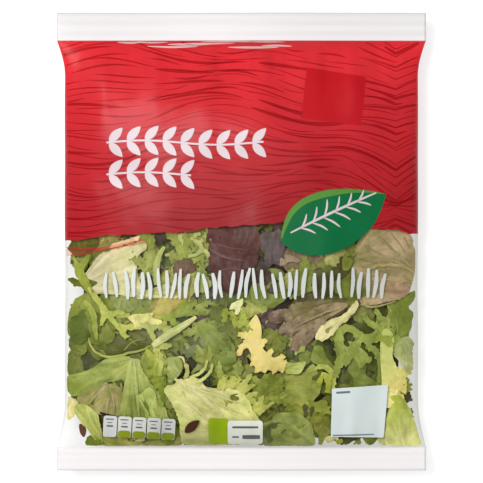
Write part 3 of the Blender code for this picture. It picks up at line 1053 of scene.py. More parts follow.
def upper_right_leaves():
    draw(red, 0.5, (138, 132, 90), (188, 168, 140), (60, -14), [
        (77, 9), (84, 7), (92, 8), (100, 5), (103, -2), (104.5, -8), (104, -18), (102, -25),
        (100, -31), (96, -34), (88, -36), (80, -38), (74, -38.5), (70, -36), (68, -30), (66, -20),
        (67, -10), (68, -2), (73, 5)], relief=1.2, pleats=0.7)
    ribs(0.2, (180, 166, 130), (146, 136, 96), 1.7, (103.5, -17), [
        (97, 3), (89, 5), (81, 4), (73, -2), (69, -10)])
    strip(0.1, (170, 156, 112), (198, 180, 136), 2.4, [
        (73, -18), (82, -14.5), (91, -14), (99, -16), (103.5, -19)])
    ribs(0.2, (186, 166, 136), (160, 142, 108), 1.4, (102.5, -22), [
        (70, -20), (71, -26), (74, -31)])
    strip(0.1, (176, 160, 120), (188, 168, 128), 1.8, [
        (78, -24), (88, -22.5), (96, -23), (102, -25)])
    draw(red, 0.3, (168, 142, 118), (176, 148, 128), (78, -28), [
        (86, -24.5), (94, -25), (101, -27), (99, -32), (92, -35), (84, -36), (80, -31)], pleats=0.5)
    strip(0.1, (172, 168, 122), (160, 150, 104), 1.4, [
        (71, -37.5), (78, -39), (86, -37.5), (92, -35.5)])
    draw(red, 1.1, (124, 112, 78), (140, 128, 92), (70, -34), [
        (34, -36), (42, -35), (52, -34), (60, -34), (67, -36), (63, -41), (56, -46), (48, -50),
        (42, -53), (36, -50), (30, -46), (28, -40)], relief=2.0, frill=0.8, ruffle=1.6)
    lace(red, 0.5, (152, 138, 108), (118, 96, 92), [
        [(62, -38, 1.6), (55, -40, 3.4), (47, -43, 4.2), (39, -46.5, 4.0), (31, -50, 3.8),
         (24, -54, 1.8)],
        [(50, -42, 2.6), (45, -48, 4.0), (41, -54, 3.8), (37, -60.5, 1.8)],
        [(36, -47, 2.6), (29, -44, 3.2), (22, -43.5, 2.6), (18, -45, 1.4)],
        [(30, -51, 2.6), (27, -57, 2.8), (27, -62, 1.2)],
        [(40, -53, 2.6), (34, -58, 2.8), (31, -64, 1.2)]], tooth=1.4, curl=2.2)
    strip(0.2, (176, 164, 134), (150, 130, 120), 1.5, [
        (60, -39), (50, -42.5), (40, -47), (30, -52)])
    draw(red, 1.2, (78, 62, 66), (86, 68, 68), (22, -40), [
        (10, -42), (18, -40), (24, -46), (24, -56), (16, -58), (11, -52)])
    draw(red, 0.3, (104, 84, 78), (112, 94, 82), (44, -46), [
        (16, -43), (22, -41), (26, -45), (23, -49), (17, -48)], relief=2.0)
    draw(pale, 0, (212, 204, 162), (216, 210, 168), (72, -34), [
        (68.8, -35.5), (67.2, -37), (64.5, -41), (61, -44.2), (57, -46.2), (52.5, -46.8),
        (48.5, -50), (46, -54), (44.5, -57), (47, -58.5), (50, -58.2), (52.3, -56), (55, -53.5),
        (57, -51), (61, -48.2), (64.5, -45), (67.2, -41), (69.8, -37.5)], relief=1.0, frill=1.1)
    draw(red, -1.2, (168, 152, 108), (152, 136, 96), (58, -46), [
        (47.6, -55.6), (49.0, -53.4), (51.6, -51.6), (54.4, -49.6), (57.6, -48.4), (55.0, -50.6),
        (52.6, -52.4), (51.4, -54.6), (49.4, -54.4)], relief=0.3, frill=0.4)
    draw(green, 1.0, (146, 160, 82), (126, 142, 62), (88, -62), [
        (87, -38), (95, -34), (103, -29), (104.5, -33), (100, -39), (103, -43), (101.5, -50),
        (100, -57), (95, -62), (90, -54)], frill=0.6, pleats=0.6)
    strip(0.7, (170, 182, 104), (150, 162, 84), 1.5, [
        (87, -38), (91.5, -45), (93.5, -52), (92, -59)], torn=0.3)
    # Painted shade: this leaf under the frisée is coloured dark so that the gaps in the frisée look
    # deep.
    draw(green, 2.0, (108, 118, 58), (98, 108, 50), (66, -90), [
        (44, -60), (52, -57), (60, -50), (70, -41), (82, -38), (91, -43), (92, -52), (87, -58),
        (84, -66), (84, -78), (85, -88), (70, -90), (55, -90), (52, -78), (45, -72)],
        frill=0.8, relief=2.0)
    draw(green, 1.1, (154, 168, 96), (132, 146, 74), (82, -90), [
        (66, -69), (73, -70), (75, -74), (74.5, -79), (78, -82), (83.5, -86), (83.5, -93),
        (67, -93), (66.5, -82), (63.5, -76)], pleats=0.7)
    draw(green, 0.9, (152, 164, 92), (130, 144, 70), (56, -82), [
        (44, -62), (49, -63), (51, -69), (54, -72.5), (57, -78), (55.5, -81), (50, -75.5),
        (45, -74), (41, -70)])
    gaps(1.9, (72, 74, 48), (68, 70, 52), (
        [(52.5, -62), (55.5, -61), (57.2, -63.5), (56.5, -67.5), (54, -69.5), (52.2, -66)],
        [(57, -82), (60, -79.5), (64, -80.5), (66.5, -84), (66, -89), (56, -89)],
        [(75, -73.5), (78, -71.2), (81.5, -73), (82.5, -79), (79.5, -79.5), (76, -77)],
        [(45, -60), (50, -57.5), (55, -59), (53, -61.8), (47, -62)],
        [(60.5, -55), (62.5, -53), (64.5, -55.5), (63.5, -58.6), (61.3, -58)],
        [(63, -47), (70, -45), (74, -47), (74, -52), (71, -54), (66, -50)],
        [(68, -60), (72, -59.5), (76, -60.5), (73, -61.8)],
        [(75, -44.5), (80, -42.5), (82, -45), (78, -47.5)],
        [(82, -52), (86, -50), (88, -53), (84, -54.5)]))
    draw(red, 1.8, (88, 70, 62), (80, 64, 60), (60, -70), [
        (58.5, -74), (61, -71.5), (63, -73), (63, -77), (60, -80), (57.5, -78)], relief=0.8)
    lace(frisee, 0.6, (172, 184, 110), (138, 150, 76), [
        [(90, -40, 0.8), (88, -45, 1.2), (85, -51, 1.8), (81, -56, 2.4), (76, -58, 2.2),
         (71, -57, 2.0), (67, -53, 1.7), (62, -51.6, 1.5), (57, -55, 1.2), (53, -58, 0.5)],
        [(71, -57, 1.8), (69, -61, 1.6), (66, -64, 2.0), (64, -69, 1.8), (62, -73, 0.7)],
        [(59.5, -53, 1.2), (58.8, -59, 1.4), (60, -64, 1.8), (59, -70, 1.8), (57, -76, 1.5),
         (56, -81, 0.6)],
        [(76, -58, 1.6), (76, -63, 1.2), (80, -65, 1.2), (82.6, -71, 1.0), (83, -78, 0.8),
         (82, -84, 0.4)],
        [(66, -64, 1.6), (71, -66, 1.8), (74, -70, 1.4), (77, -70.5, 0.6)],
        [(84, -52, 1.4), (79, -50, 1.2), (75, -47, 0.9), (73, -43, 0.4)],
        [(87, -47, 1.2), (83, -46, 1.0), (80, -40.5, 0.4)],
        [(62, -64, 1.6), (66, -66.5, 1.4), (70, -70, 1.0), (72, -75, 0.5)],
        [(85, -51, 1.6), (89, -54, 1.5), (91, -58, 0.7)]], tooth=1.9, curl=1.4)
    lace(frisee, 1.0, (178, 186, 118), (128, 142, 66), [
        [(56, -57, 0.7), (57.5, -60, 0.9), (57, -64, 0.9), (58, -68, 0.5)],
        [(64, -60, 0.7), (67, -62, 1.0), (68, -67, 1.0), (66, -72, 0.5)],
        [(90, -48, 0.8), (86, -52, 1.0), (84, -57, 0.5)]], tooth=1.6)


def lower_left_leaves():
    draw(green, 2, (112, 118, 58), (92, 98, 48), (-56, -62), [
        (-91, -56), (-86, -52), (-78, -50), (-70, -52), (-62, -54), (-57, -58), (-54, -62),
        (-60, -66), (-68, -68), (-78, -69.5), (-86, -68), (-90, -63)], pleats=0.8)
    strip(0.6, (178, 184, 112), (160, 168, 92), 1.6, [
        (-91.5, -56), (-90.5, -61), (-87, -66), (-81, -68.8), (-74, -68.5), (-67, -66.5),
        (-60, -65), (-54, -62)], taper=0.1, torn=0.4)
    strip(1.2, (146, 156, 88), (138, 148, 80), 1.2, [(-70, -65), (-65, -60), (-57, -58)])
    strip(1.2, (140, 148, 84), (130, 138, 74), 1.6, [(-78, -54), (-70, -56), (-62, -62)])
    draw(green, 1.6, (136, 146, 74), (110, 120, 52), (-92, -68), [
        (-103.5, -58), (-97, -56), (-92, -60), (-92, -66), (-98, -70), (-102, -66)], frill=0.8)
    draw(green, 1.7, (132, 142, 70), (110, 122, 54), (-98, -66), [
        (-103.6, -66), (-97, -67), (-95, -73), (-94, -79), (-103.8, -80.5)], frill=0.8)
    # Painted shade: a dark leaf laid in the hollow at the left.
    draw(green, 2.4, (92, 96, 62), (88, 92, 58), (-80, -70), [
        (-99, -66), (-90, -62), (-84, -66), (-77, -69), (-79, -73), (-86, -77), (-94, -80),
        (-101, -79)])
    draw(green, 0.9, (176, 186, 118), (128, 144, 66), (-63, -70), [
        (-66, -70), (-71, -68.8), (-76, -68.5), (-82, -71), (-88, -75), (-95, -78), (-104, -80.5),
        (-104.5, -87), (-101, -92), (-95, -91), (-89, -88.5), (-84, -86), (-78, -84), (-73, -84),
        (-69, -81)], pleats=0.9)
    draw(green, 0.85, (84, 96, 46), (78, 90, 40), (-70, -82), [
        (-76, -82.5), (-73, -81), (-70, -82), (-70.5, -85), (-74, -85.5)], frill=0.8, relief=0.4)
    draw(green, 0.7, (184, 192, 128), (140, 154, 78), (-65, -66), [
        (-67.5, -70.5), (-64, -70), (-60.5, -71), (-58.5, -77), (-55, -83), (-51.5, -88),
        (-47, -95), (-43.5, -104), (-42, -111), (-73, -111), (-73, -101), (-71, -90), (-69, -79)],
        pleats=1.1, relief=1.6)
    strip(0.4, (188, 198, 138), (170, 182, 112), 2.4, [
        (-66, -71), (-67, -80), (-69, -93), (-70.5, -106)], torn=0.2)
    strip(0.4, (190, 200, 140), (168, 182, 108), 2.2, [
        (-64, -71), (-63.5, -80), (-62.5, -91), (-61, -105)], torn=0.2)
    strip(0.4, (186, 198, 134), (160, 174, 98), 2.0, [
        (-61.5, -72), (-59.5, -80), (-56.5, -87)], torn=0.2)
    strip(0.5, (142, 156, 82), (134, 148, 74), 1.6, [
        (-65.5, -88), (-66, -96), (-65.5, -105)], torn=0.4)
    draw(pale, 0.1, (160, 174, 100), (174, 186, 116), (-52, -112), [
        (-63, -93), (-59.5, -90), (-55.5, -87), (-51.5, -89.5), (-50, -96), (-48.5, -103),
        (-47, -109), (-56, -109), (-58, -102), (-60, -97)], pleats=0.6)
    draw(green, 0.0, (106, 122, 54), (112, 126, 58), (-59, -92), [
        (-59.5, -93.5), (-58, -94), (-55.5, -99), (-54.5, -104), (-56, -103), (-58, -98)],
        frill=0.2, relief=0.3)
    draw(pale, 1.4, (156, 156, 92), (176, 170, 116), (-78, -82), [
        (-71.5, -85), (-78, -85), (-87, -87), (-95, -90), (-98, -94), (-95, -98), (-89, -101),
        (-81, -104), (-74, -106), (-72, -96)], pleats=1.2, relief=1.6)
    ribs(1.05, (192, 180, 144), (176, 166, 124), 1.9, (-79, -83.5), [
        (-96, -93), (-92, -98), (-88, -101), (-84.5, -102.5), (-80.5, -104), (-76, -104.5)])
    strip(0.9, (50, 34, 30), (46, 34, 28), 1.5, [(-88, -101), (-82, -103), (-74, -104.6)], torn=0.4)
    draw(pale, 0.1, (216, 206, 158), (206, 200, 142), (-103, -92), [
        (-104, -93.5), (-101, -93), (-98, -95.5), (-97.5, -100), (-100, -105), (-104, -106)],
        frill=0.6)
    draw(pale, 0, (158, 166, 92), (174, 180, 108), (-80, -124), [
        (-100, -99), (-96, -97), (-91, -98.5), (-87, -102), (-84.5, -108), (-83, -115),
        (-83.5, -121), (-87, -119.5), (-92, -112.5), (-97, -106.5)], pleats=0.6)
    strip(-0.1, (150, 164, 78), (140, 156, 70), 1.5, [
        (-98.5, -103), (-93, -108.5), (-88, -115), (-85, -120)], torn=0.3)
    draw(red, 0.8, (112, 74, 50), (96, 62, 46), (-95, -118), [
        (-97, -109), (-94, -109.5), (-92.5, -113), (-94, -117), (-96.5, -114)], frill=0.2)
    draw(green, 0.5, (126, 140, 52), (110, 126, 44), (-86, -124), [
        (-93, -117), (-89, -114.5), (-84, -116), (-81, -121), (-88, -122.4), (-93, -122)],
        frill=0.8)
    draw(pale, 1.2, (172, 170, 102), (156, 160, 84), (-60, -124), [
        (-84, -114), (-70, -115), (-56, -114), (-44, -113), (-36, -117), (-38, -122.4),
        (-60, -122.4), (-82, -122.4)])
    curly(frisee, 0.9, (180, 184, 106), (124, 136, 56), -82, -119, 4, 20, lobe=0.34, sweep=0.3)
    curly(frisee, 0.9, (150, 160, 78), (104, 118, 44), -58, -118, 2, 18, lobe=0.34, sweep=0.3)
    lace(pale, 0.7, (214, 208, 176), (180, 184, 120), [
        [(-64, -118, 0.6), (-61.5, -117.5, 1.4), (-58, -118.5, 0.6)]], tooth=0.8)
    draw(red, 1.0, (112, 92, 62), (120, 104, 66), (-66, -118), [
        (-68, -117), (-63, -115.5), (-57, -116.5), (-55, -119.5), (-61, -121), (-67, -120)],
        relief=0.8)
    draw(green, 2.2, SHADE, SHADE, (-80, -100), [
        (-90, -100), (-80, -103), (-72, -104), (-74, -108), (-84, -108)])
    draw(green, 1, (152, 162, 78), (112, 128, 52), (-54, -60), [
        (-57, -63), (-51, -62), (-46, -66), (-44, -73), (-45, -81), (-44, -88), (-45, -96),
        (-40, -106), (-46, -112), (-52, -98), (-53, -88), (-57, -80), (-60, -72)],
        frill=0.9, relief=2.0)
    lace(frisee, 0.45, (172, 184, 84), (112, 128, 44), [
        [(-57, -64, 1.0), (-54, -69, 1.8), (-52, -74, 1.8), (-50, -79, 1.4), (-47, -83, 0.6)],
        [(-53, -71, 1.4), (-49, -70, 1.0), (-46, -71, 0.4)],
        [(-51, -77, 1.3), (-47, -76, 1.0), (-45, -78, 0.4)]], tooth=1.8)
    draw(pale, 0.6, (156, 166, 100), (160, 170, 104), (-34, -84), [
        (-46, -71), (-42, -68.8), (-37, -69.4), (-35, -73), (-35.6, -78), (-39.5, -82.5),
        (-43.5, -84.5), (-45.4, -79)], frill=0.5)
    draw(pale, 0.0, (202, 200, 150), (190, 190, 134), (-36, -67), [
        (-39, -68.9), (-36.3, -67.9), (-34.0, -69.4), (-33.8, -72.8), (-34.9, -72.0),
        (-35.8, -70.0)],
        frill=0.5, relief=0.5)
    lace(pale, 0.4, (182, 178, 120), (160, 164, 96), [
        [(-34.4, -72, 0.4), (-32.6, -75, 0.6), (-32.4, -79, 0.5), (-34, -82, 0.2)]], tooth=1.0)
    curly(frisee, 0.4, (170, 178, 84), (116, 128, 46), -50, -66, 276, 20, lobe=0.34)
    strip(0.0, (198, 202, 150), (192, 196, 140), 5.6, [
        (-53, -62.5), (-45, -56.5), (-36, -51), (-27, -45)], taper=0.4, torn=0.08)
    lace(frisee, 0.2, (196, 200, 130), (140, 150, 68), [
        [(-52, -62, 1.2), (-50, -67, 1.5), (-48, -73, 1.0), (-49, -80, 0.4)],
        [(-53, -61, 1.0), (-48, -63, 0.9), (-42, -62, 0.4)]], tooth=1.8)


def lower_middle_leaves():
    draw(green, 2.8, SHADE, (70, 72, 50), (-22, -56), [
        (-44, -60), (-34, -54), (-24, -54), (-16, -60), (-14, -70), (-12, -84), (-20, -90),
        (-28, -86), (-34, -80), (-40, -70)], relief=0.5)
    draw(green, 0.7, (148, 162, 88), (118, 134, 62), (-28, -46), [
        (-29, -50), (-22, -46), (-14, -44.5), (-9, -49), (-7, -57), (-3, -66), (-4, -72),
        (-10, -74), (-16, -70), (-19, -63), (-24, -58), (-28, -54)])
    draw(green, 1.6, (108, 118, 50), (92, 104, 40), (2, -52), [
        (-10, -56), (-2, -54), (3, -60), (4, -70), (6, -80), (0, -88), (-10, -88), (-14, -80),
        (-10, -70)], frill=0.9, relief=2.0)
    curly(frisee, 0.8, (150, 160, 76), (104, 116, 44), -26, -62, 330, 20, lobe=0.4)
    curly(frisee, 0.9, (156, 166, 78), (110, 120, 46), -12, -70, 290, 20, lobe=0.45)
    curly(frisee, 1.1, (178, 182, 96), (120, 130, 52), 0, -74, 260, 20, lobe=0.42)
    curly(frisee, 0.6, (186, 190, 104), (136, 144, 60), 6, -86, 240, 18, lobe=0.5)
    draw(pale, 0.1, (192, 198, 124), (208, 208, 154), (14, -116), [
        (-46.5, -89), (-42, -85), (-36, -82), (-29, -80.5), (-24, -82), (-22, -86), (-15, -87.5),
        (-9, -86), (-5, -88), (0, -89), (4, -94), (7, -100), (10, -104), (13, -112), (8, -120),
        (-8, -122), (-22, -122.4), (-35, -121), (-37, -112), (-39, -104), (-42, -97)],
        relief=1.5, pleats=0.6, frill=0.9)
    strip(-0.3, (206, 206, 156), (204, 204, 146), 3.0, [
        (-40, -82), (-30, -88), (-20, -96), (-11, -104), (-4, -112)], torn=0.1)
    strip(-0.3, (204, 204, 154), (200, 200, 140), 1.8, [
        (-32, -96), (-25, -102), (-18, -110), (-14, -118)], torn=0.1)
    ribs(-0.25, (208, 208, 166), (200, 200, 138), 1.2, (-38, -84), [
        (-26, -108), (-18, -100), (-8, -100), (2, -104), (-4, -94), (4, -98)])
    lace(frisee, -0.2, (194, 196, 124), (154, 162, 78), [
        [(-14, -88, 1.1), (-12, -84, 1.0), (-9, -80, 0.3)],
        [(-11, -88, 1.1), (-7, -84.5, 0.8), (-5, -80.5, 0.3)],
        [(-9, -89, 1.3), (-4, -85, 0.9), (-1, -81.5, 0.3)],
        [(-4, -89.6, 1.4), (0, -86, 0.9), (3.6, -82.4, 0.6), (5, -79.5, 0.3)],
        [(-1, -91, 1.2), (3.4, -87.6, 0.8), (7.4, -85.4, 0.3)],
        [(1, -94.5, 1.2), (5, -92, 0.8), (9.6, -90.4, 0.3)],
        [(2, -97, 1.2), (6.4, -95.2, 0.8), (10, -94.8, 0.5), (13, -92.8, 0.25)],
        [(5, -101, 1.1), (9, -98.6, 0.8), (12.4, -95.6, 0.3)],
        [(6, -104.4, 1.1), (10.4, -101.8, 0.9), (15, -97.8, 0.5)]], tooth=1.4)
    gaps(-0.3, (112, 118, 50), (96, 104, 42), (
        [(-7, -92), (-3, -90.5), (0.5, -92), (-2, -94.5), (-6, -94.5)],
        [(4, -101), (8, -101.5), (10, -104), (7, -105), (4.5, -103)]), relief=0.2, frill=0.3)
    lace(frisee, 0.1, (214, 214, 164), (176, 182, 112), [
        [(-27, -84.5, 0.5), (-22, -81.4, 0.3), (-18.4, -77.4, 0.2), (-17.4, -73, 0.05)]], tooth=0.5)
    lace(frisee, 0.1, (206, 206, 154), (176, 182, 112), [
        [(-31, -80.6, 0.5), (-26, -79.4, 0.3), (-22, -75.8, 0.2), (-20.4, -70.6, 0.05)]], tooth=0.5)
    lace(frisee, 0.3, (168, 176, 96), (112, 122, 50), [
        [(-20, -62, 0.6), (-18, -67, 1.0), (-21, -71, 1.0), (-27, -70, 0.4)],
        [(-12, -70, 0.6), (-14, -75, 1.0), (-12, -81, 1.2), (-8, -86, 0.5)]], tooth=2.2)
    lace(yellow, -0.1, (226, 211, 152), (200, 184, 106), [
        [(8.6, -43.6, 0.4), (8.2, -48, 2.6), (7.4, -54, 4.6), (7.2, -60, 4.0), (9.6, -66, 3.6),
         (14, -71.2, 3.8), (18.4, -73.0, 3.4), (22.4, -74.6, 2.0), (24.8, -76.6, 0.5)],
        [(5, -55, 1.6), (1, -56, 1.1), (-1.8, -55.4, 0.3)],
        [(5, -60, 1.8), (1, -62, 1.2), (-1, -65, 0.8), (-1.4, -67.6, 0.3)],
        [(12, -70, 1.6), (10, -74, 1.2), (9.2, -78, 0.3)],
        [(16, -72, 1.6), (14, -75.5, 1.0), (13, -77.6, 0.3)],
        [(20, -73, 1.4), (19, -76, 0.9), (19.5, -78, 0.3)],
        [(19, -71.5, 1.2), (22.6, -69.6, 0.7), (25, -68.2, 0.2)],
        [(22, -73.6, 1.0), (25, -72.6, 0.5), (27, -72.2, 0.1)],
        [(14, -69, 1.0), (16.6, -66.6, 0.6), (18.2, -64.6, 0.1)],
        [(10.4, -62, 1.0), (13, -60.4, 0.6), (14.6, -58.8, 0.1)],
        [(10, -66, 1.4), (7.5, -70, 0.9), (6.8, -73.5, 0.3)]], tooth=1.8, curl=0.3)
    curly(frisee, 0.5, (132, 140, 60), (96, 104, 38), 16, -68, 80, 12, lobe=0.5, sweep=1.5)
    curly(frisee, 0.6, (140, 148, 64), (100, 108, 40), 24, -66, 130, 13, lobe=0.5, sweep=1.5)
    draw(green, 1.8, (100, 106, 44), (88, 96, 40), (16, -62), [
        (10, -58), (18, -54), (28, -58), (38, -62), (46, -68), (40, -74), (28, -74), (18, -70),
        (11, -64)], frill=0.9)
    draw(pale, 0.3, (160, 174, 88), (180, 190, 114), (25, -76), [
        (25.5, -74), (27, -72), (32, -72.3), (38.4, -71.8), (37.6, -75), (35, -79), (29, -79.4),
        (26.4, -79)], frill=0.4, relief=0.5, ruffle=0.3)
    draw(green, 1.4, (100, 108, 68), (92, 102, 60), (38, -58), [
        (28, -63), (34, -60), (42, -62), (46, -66), (44, -71), (36, -71.5), (29, -70)], relief=1.2)
    draw(green, 1.5, (88, 98, 42), (78, 88, 36), (14, -78), [
        (5, -79), (14, -77), (23, -79), (26, -88), (24, -98), (14, -101), (7, -96), (5, -88)],
        frill=0.9, relief=1.4)
    draw(green, 1, (138, 146, 66), (164, 172, 94), (18, -86), [
        (22, -80.5), (30, -79.5), (37, -78), (43, -72.5), (46, -78), (47.5, -86), (46, -93),
        (40, -98), (32, -98), (25, -97), (21, -93), (24, -88.5), (19.5, -85)],
        relief=1.6, pleats=0.4, frill=0.8)
    for x, y, turn in ((8, -81, 300), (12, -86, 20), (8, -90, 340), (16, -93, 60), (14, -80, 330)):
        curly(frisee, 0.5, (146, 156, 72), (106, 118, 46), x, y, turn, 10,
              lobe=0.5, wide=0.4, tooth=2.6)
    lace(frisee, 0.3, (150, 160, 78), (112, 124, 50), [
        [(5, -80, 0.5), (9, -83, 0.8), (14, -84.5, 0.8), (20, -84, 0.4)],
        [(9, -83, 0.7), (11, -87, 0.7), (10, -91, 0.3)],
        [(14, -84.5, 0.7), (17, -88, 0.8), (22, -90, 0.4)],
        [(10, -93, 0.5), (15, -92, 0.8), (20, -93.5, 0.7), (24, -96.5, 0.3)],
        [(15, -92, 0.6), (14, -96, 0.6), (11, -98.5, 0.3)]], tooth=2.0)
    lace(frisee, 0.0, (184, 192, 116), (158, 168, 86), [
        [(43, -77, 0.4), (46, -74.8, 0.7), (50, -74.8, 1.0), (53.3, -77.5, 1.1), (54.8, -82, 1.0),
         (54.4, -87, 0.8), (53, -90.5, 0.4)]], tooth=1.3)
    lace(frisee, 0.25, (184, 190, 88), (140, 150, 54), [
        [(48, -78.5, 0.8), (51, -80.5, 1.4), (52, -85, 1.3), (51, -89.5, 0.6)],
        [(49, -79.5, 0.9), (46.5, -83, 0.8), (46, -86, 0.4)]], tooth=1.5)
    strip(0.3, (182, 186, 112), (162, 168, 88), 2.2, [
        (9, -105), (14, -100), (20, -95.5), (27.5, -91.5)], torn=0.5)
    draw(green, 0.5, (160, 172, 108), (134, 146, 84), (46, -124), [
        (16, -106), (23, -102), (33, -102), (40, -107), (43, -113), (43, -122.4), (28, -122.4),
        (14, -122.4), (13, -114)], pleats=0.5)
    draw(green, 0.45, (98, 112, 66), (92, 108, 62), (14, -104), [
        (15, -110), (20, -108.5), (27, -108), (30, -110), (25, -114), (20, -118), (16, -121),
        (14, -116)], relief=0.8)
    draw(green, 1.6, (140, 146, 66), (118, 124, 50), (40, -92), [
        (26, -97), (34, -94), (44, -95), (54, -92), (57, -102), (56, -114), (46, -118), (38, -108),
        (28, -102)], frill=0.9, relief=2.0)
    gaps(1.3, SHADE, (78, 80, 50), (
        [(48, -84), (50, -86), (53, -94), (50, -93), (48, -89)],
        [(6, -88), (12, -86), (14, -89), (9, -91)]))
    gaps(0.4, (84, 86, 52), (76, 78, 44), (
        [(36.4, -98.5), (38.4, -96.6), (40, -99), (39.6, -103.6), (37.4, -105)],
        [(41.4, -96.4), (43.6, -95.4), (43.2, -101), (41.2, -104.6), (40.6, -101)]),
        relief=0.3, frill=0.3)
    curly(frisee, 0.6, (166, 174, 84), (120, 130, 50), 54, -104, 170, 24, lobe=0.45)
    curly(frisee, 0.7, (160, 168, 80), (116, 124, 48), 40, -94, 250, 20, lobe=0.45)
    curly(frisee, 0.8, (170, 176, 84), (120, 128, 50), 48, -118, 110, 16, lobe=0.45)


def lower_right_leaves():
    lace(yellow, 0, (172, 190, 104), (246, 234, 176), [
        [(86.5, -54, 2.4), (87, -58, 4.0), (86.5, -64, 3.6), (86.6, -70, 3.6), (88, -76, 4.6),
         (89, -82, 5.2), (88.5, -89, 4.8), (87.5, -97, 2.6)]], tooth=0.9, curl=0.3)
    lace(frisee, 0.1, (166, 178, 92), (146, 160, 76), [
        [(88, -61, 2.2), (87, -57, 3.0), (85.5, -53.5, 1.8), (82, -51.6, 0.6)],
        [(86, -57, 2.0), (82.5, -57.5, 1.2), (79.6, -59.6, 0.4)],
        [(88, -60, 1.8), (91, -58.6, 1.3), (93.6, -56.8, 0.4)]], tooth=1.4, curl=0.3)
    lace(yellow, 0.05, (222, 210, 136), (196, 194, 116), [
        [(89, -75, 2.0), (94, -77.5, 1.5), (99, -79.6, 0.4)],
        [(90, -81, 2.4), (94.5, -83, 1.2), (98, -83.6, 0.4)],
        [(90, -86, 2.4), (94.5, -87.5, 1.2), (98.5, -88.2, 0.4)],
        [(89, -91, 2.0), (93, -92, 1.2), (96, -94, 0.4)]], tooth=2.0, curl=0.3)
    curly(frisee, 1.0, (184, 192, 110), (136, 146, 66), 97, -92, 80, 12, lobe=0.5)
    draw(pale, 0.8, (178, 186, 134), (192, 198, 150), (96, -58), [
        (88, -61), (92.6, -57.6), (99, -56.0), (103.4, -60), (102.6, -66), (103.4, -73),
        (101.4, -80), (97.4, -77.6), (94, -72), (90, -67)], frill=0.9)
    draw(pale, -0.35, (220, 222, 160), (166, 178, 78), (98, -128), [
        (87, -94), (94, -91.5), (99, -97), (102.5, -104), (105.5, -114), (106.5, -122.4),
        (88, -122.4), (85, -116), (86, -108), (87, -100)], pleats=0.5, relief=1.0)
    draw(green, 1.5, (146, 156, 70), (126, 136, 56), (80, -124), [
        (52, -88), (70, -86), (88, -90), (88, -104), (87, -114), (76, -117), (60, -116),
        (50, -112)])
    draw(green, 0.4, (136, 140, 70), (150, 152, 84), (48, -108), [
        (42.5, -110), (46, -109), (52, -109.5), (53.5, -114), (50.5, -117), (48.5, -121.6),
        (45, -121), (45.4, -116)], frill=0.9)
    draw(pale, 0.3, (214, 208, 160), (206, 204, 150), (52, -116), [
        (50, -116.4), (54, -115.6), (58, -116.6), (56, -119), (51.5, -120)], frill=0.6, relief=0.6)
    draw(green, 0.3, (176, 178, 64), (160, 164, 60), (58, -116), [
        (55.5, -118.4), (60, -117.6), (60.6, -120), (57.5, -121.6)], frill=0.6, relief=0.6)
    draw(green, 0.3, (132, 144, 66), (112, 126, 52), (76, -115), [
        (72.5, -116.5), (81, -116.4), (80, -120), (76.8, -121.8), (74, -120)],
        frill=0.7, relief=0.8)
    draw(pale, 0.6, (206, 208, 158), (196, 200, 146), (86, -116), [
        (79.5, -116.5), (88, -115), (89, -121), (83, -121.6)], frill=0.8)


# Kinds of strewn leaf: form and its two tones.
STREWN = (
    (TORN, (150, 160, 80), (112, 122, 52)),
    (FRISEE, (192, 200, 122), (116, 128, 50)),
    (FRISEE, (170, 180, 94), (100, 110, 42)),
    (TORN, (122, 130, 62), (92, 100, 42)),
    (FRISEE, (204, 208, 138), (140, 150, 66)),
    (TORN, (190, 194, 126), (160, 168, 94)),
    (FRISEE, (160, 170, 84), (92, 102, 38)),
    (TORN, (140, 150, 72), (104, 114, 48)),
)
SPRIGS = tuple((SPRIG if form is FRISEE else form, near, far) for form, near, far in STREWN)
RED_STREWN = ((TORN, (112, 86, 76), (92, 70, 62)), (TORN, (92, 72, 66), (78, 60, 56)))

# Places (x, y, radius) in millimetres that strewn leaves keep clear: gaps that show the dark
# depth of the bag, bare film, and drawn leaves that lie in full view.
HOLLOWS = (
    (-58, -57, 6), (-92, -71, 8), (-33, -59, 5), (-30, -69, 5), (-18, -82, 6), (4, -72, 4),
    (53, -65, 5), (61, -83, 6), (79, -76, 5), (39, -101, 4), (70, -54, 9), (62, -78, 8),
    (78, -68, 6), (12, -88, 5), (-12, -24, 6), (-79, -70, 4), (-52, -2, 4),
)
BARE = (
    (-104, -30, 5), (-103, -112, 12), (105, -72, 6), (106, -90, 8), (104, -38, 4), (56, -121, 5),
    (83, -122, 4),
)
SHOWN = (
    (-5, -8, 12), (-12, -22, 8), (20, -5, 7), (86, -16, 16), (-76, -16, 14), (-15, -104, 18),
    (42, -46, 8), (-86, -94, 7), (-66, -90, 9),
)


def strewn(kinds, frilly, broad, face, count, rows, layers, lengths, seed, cell, clear):
    """Leaves of every kind, strewn over one face of the bag but for the spots kept clear."""
    rng = np.random.default_rng(seed)
    for step in range(count):
        x, y = rng.uniform(-102, 102), rng.uniform(*rows)
        form, near, far = kinds[step % len(kinds)]
        # Red leaves gather behind the dark ones that show, and a few lie elsewhere.
        near_red = math.hypot((x - 12) / 40, (y + 18) / 30) < 1
        if near_red and step % 2 or step % 13 == 0:
            form, near, far = RED_STREWN[step % 2]
        shade, turn, length = rng.uniform(0.86, 1.12), rng.uniform(0, 360), rng.uniform(*lengths)
        if any(math.hypot(x - px, y - py) < radius + length / 4 for px, py, radius in clear):
            continue
        near, far = (tuple(value * shade for value in colour) for colour in (near, far))
        heap = broad if form is TORN else frilly
        curly(heap, rng.uniform(*layers), near, far, *placed(x, y, turn, -length / 2, 0.0), turn,
              length, rng.uniform(-10, 10), rng.uniform(-8, 8), face, rng, cell=cell, **form)


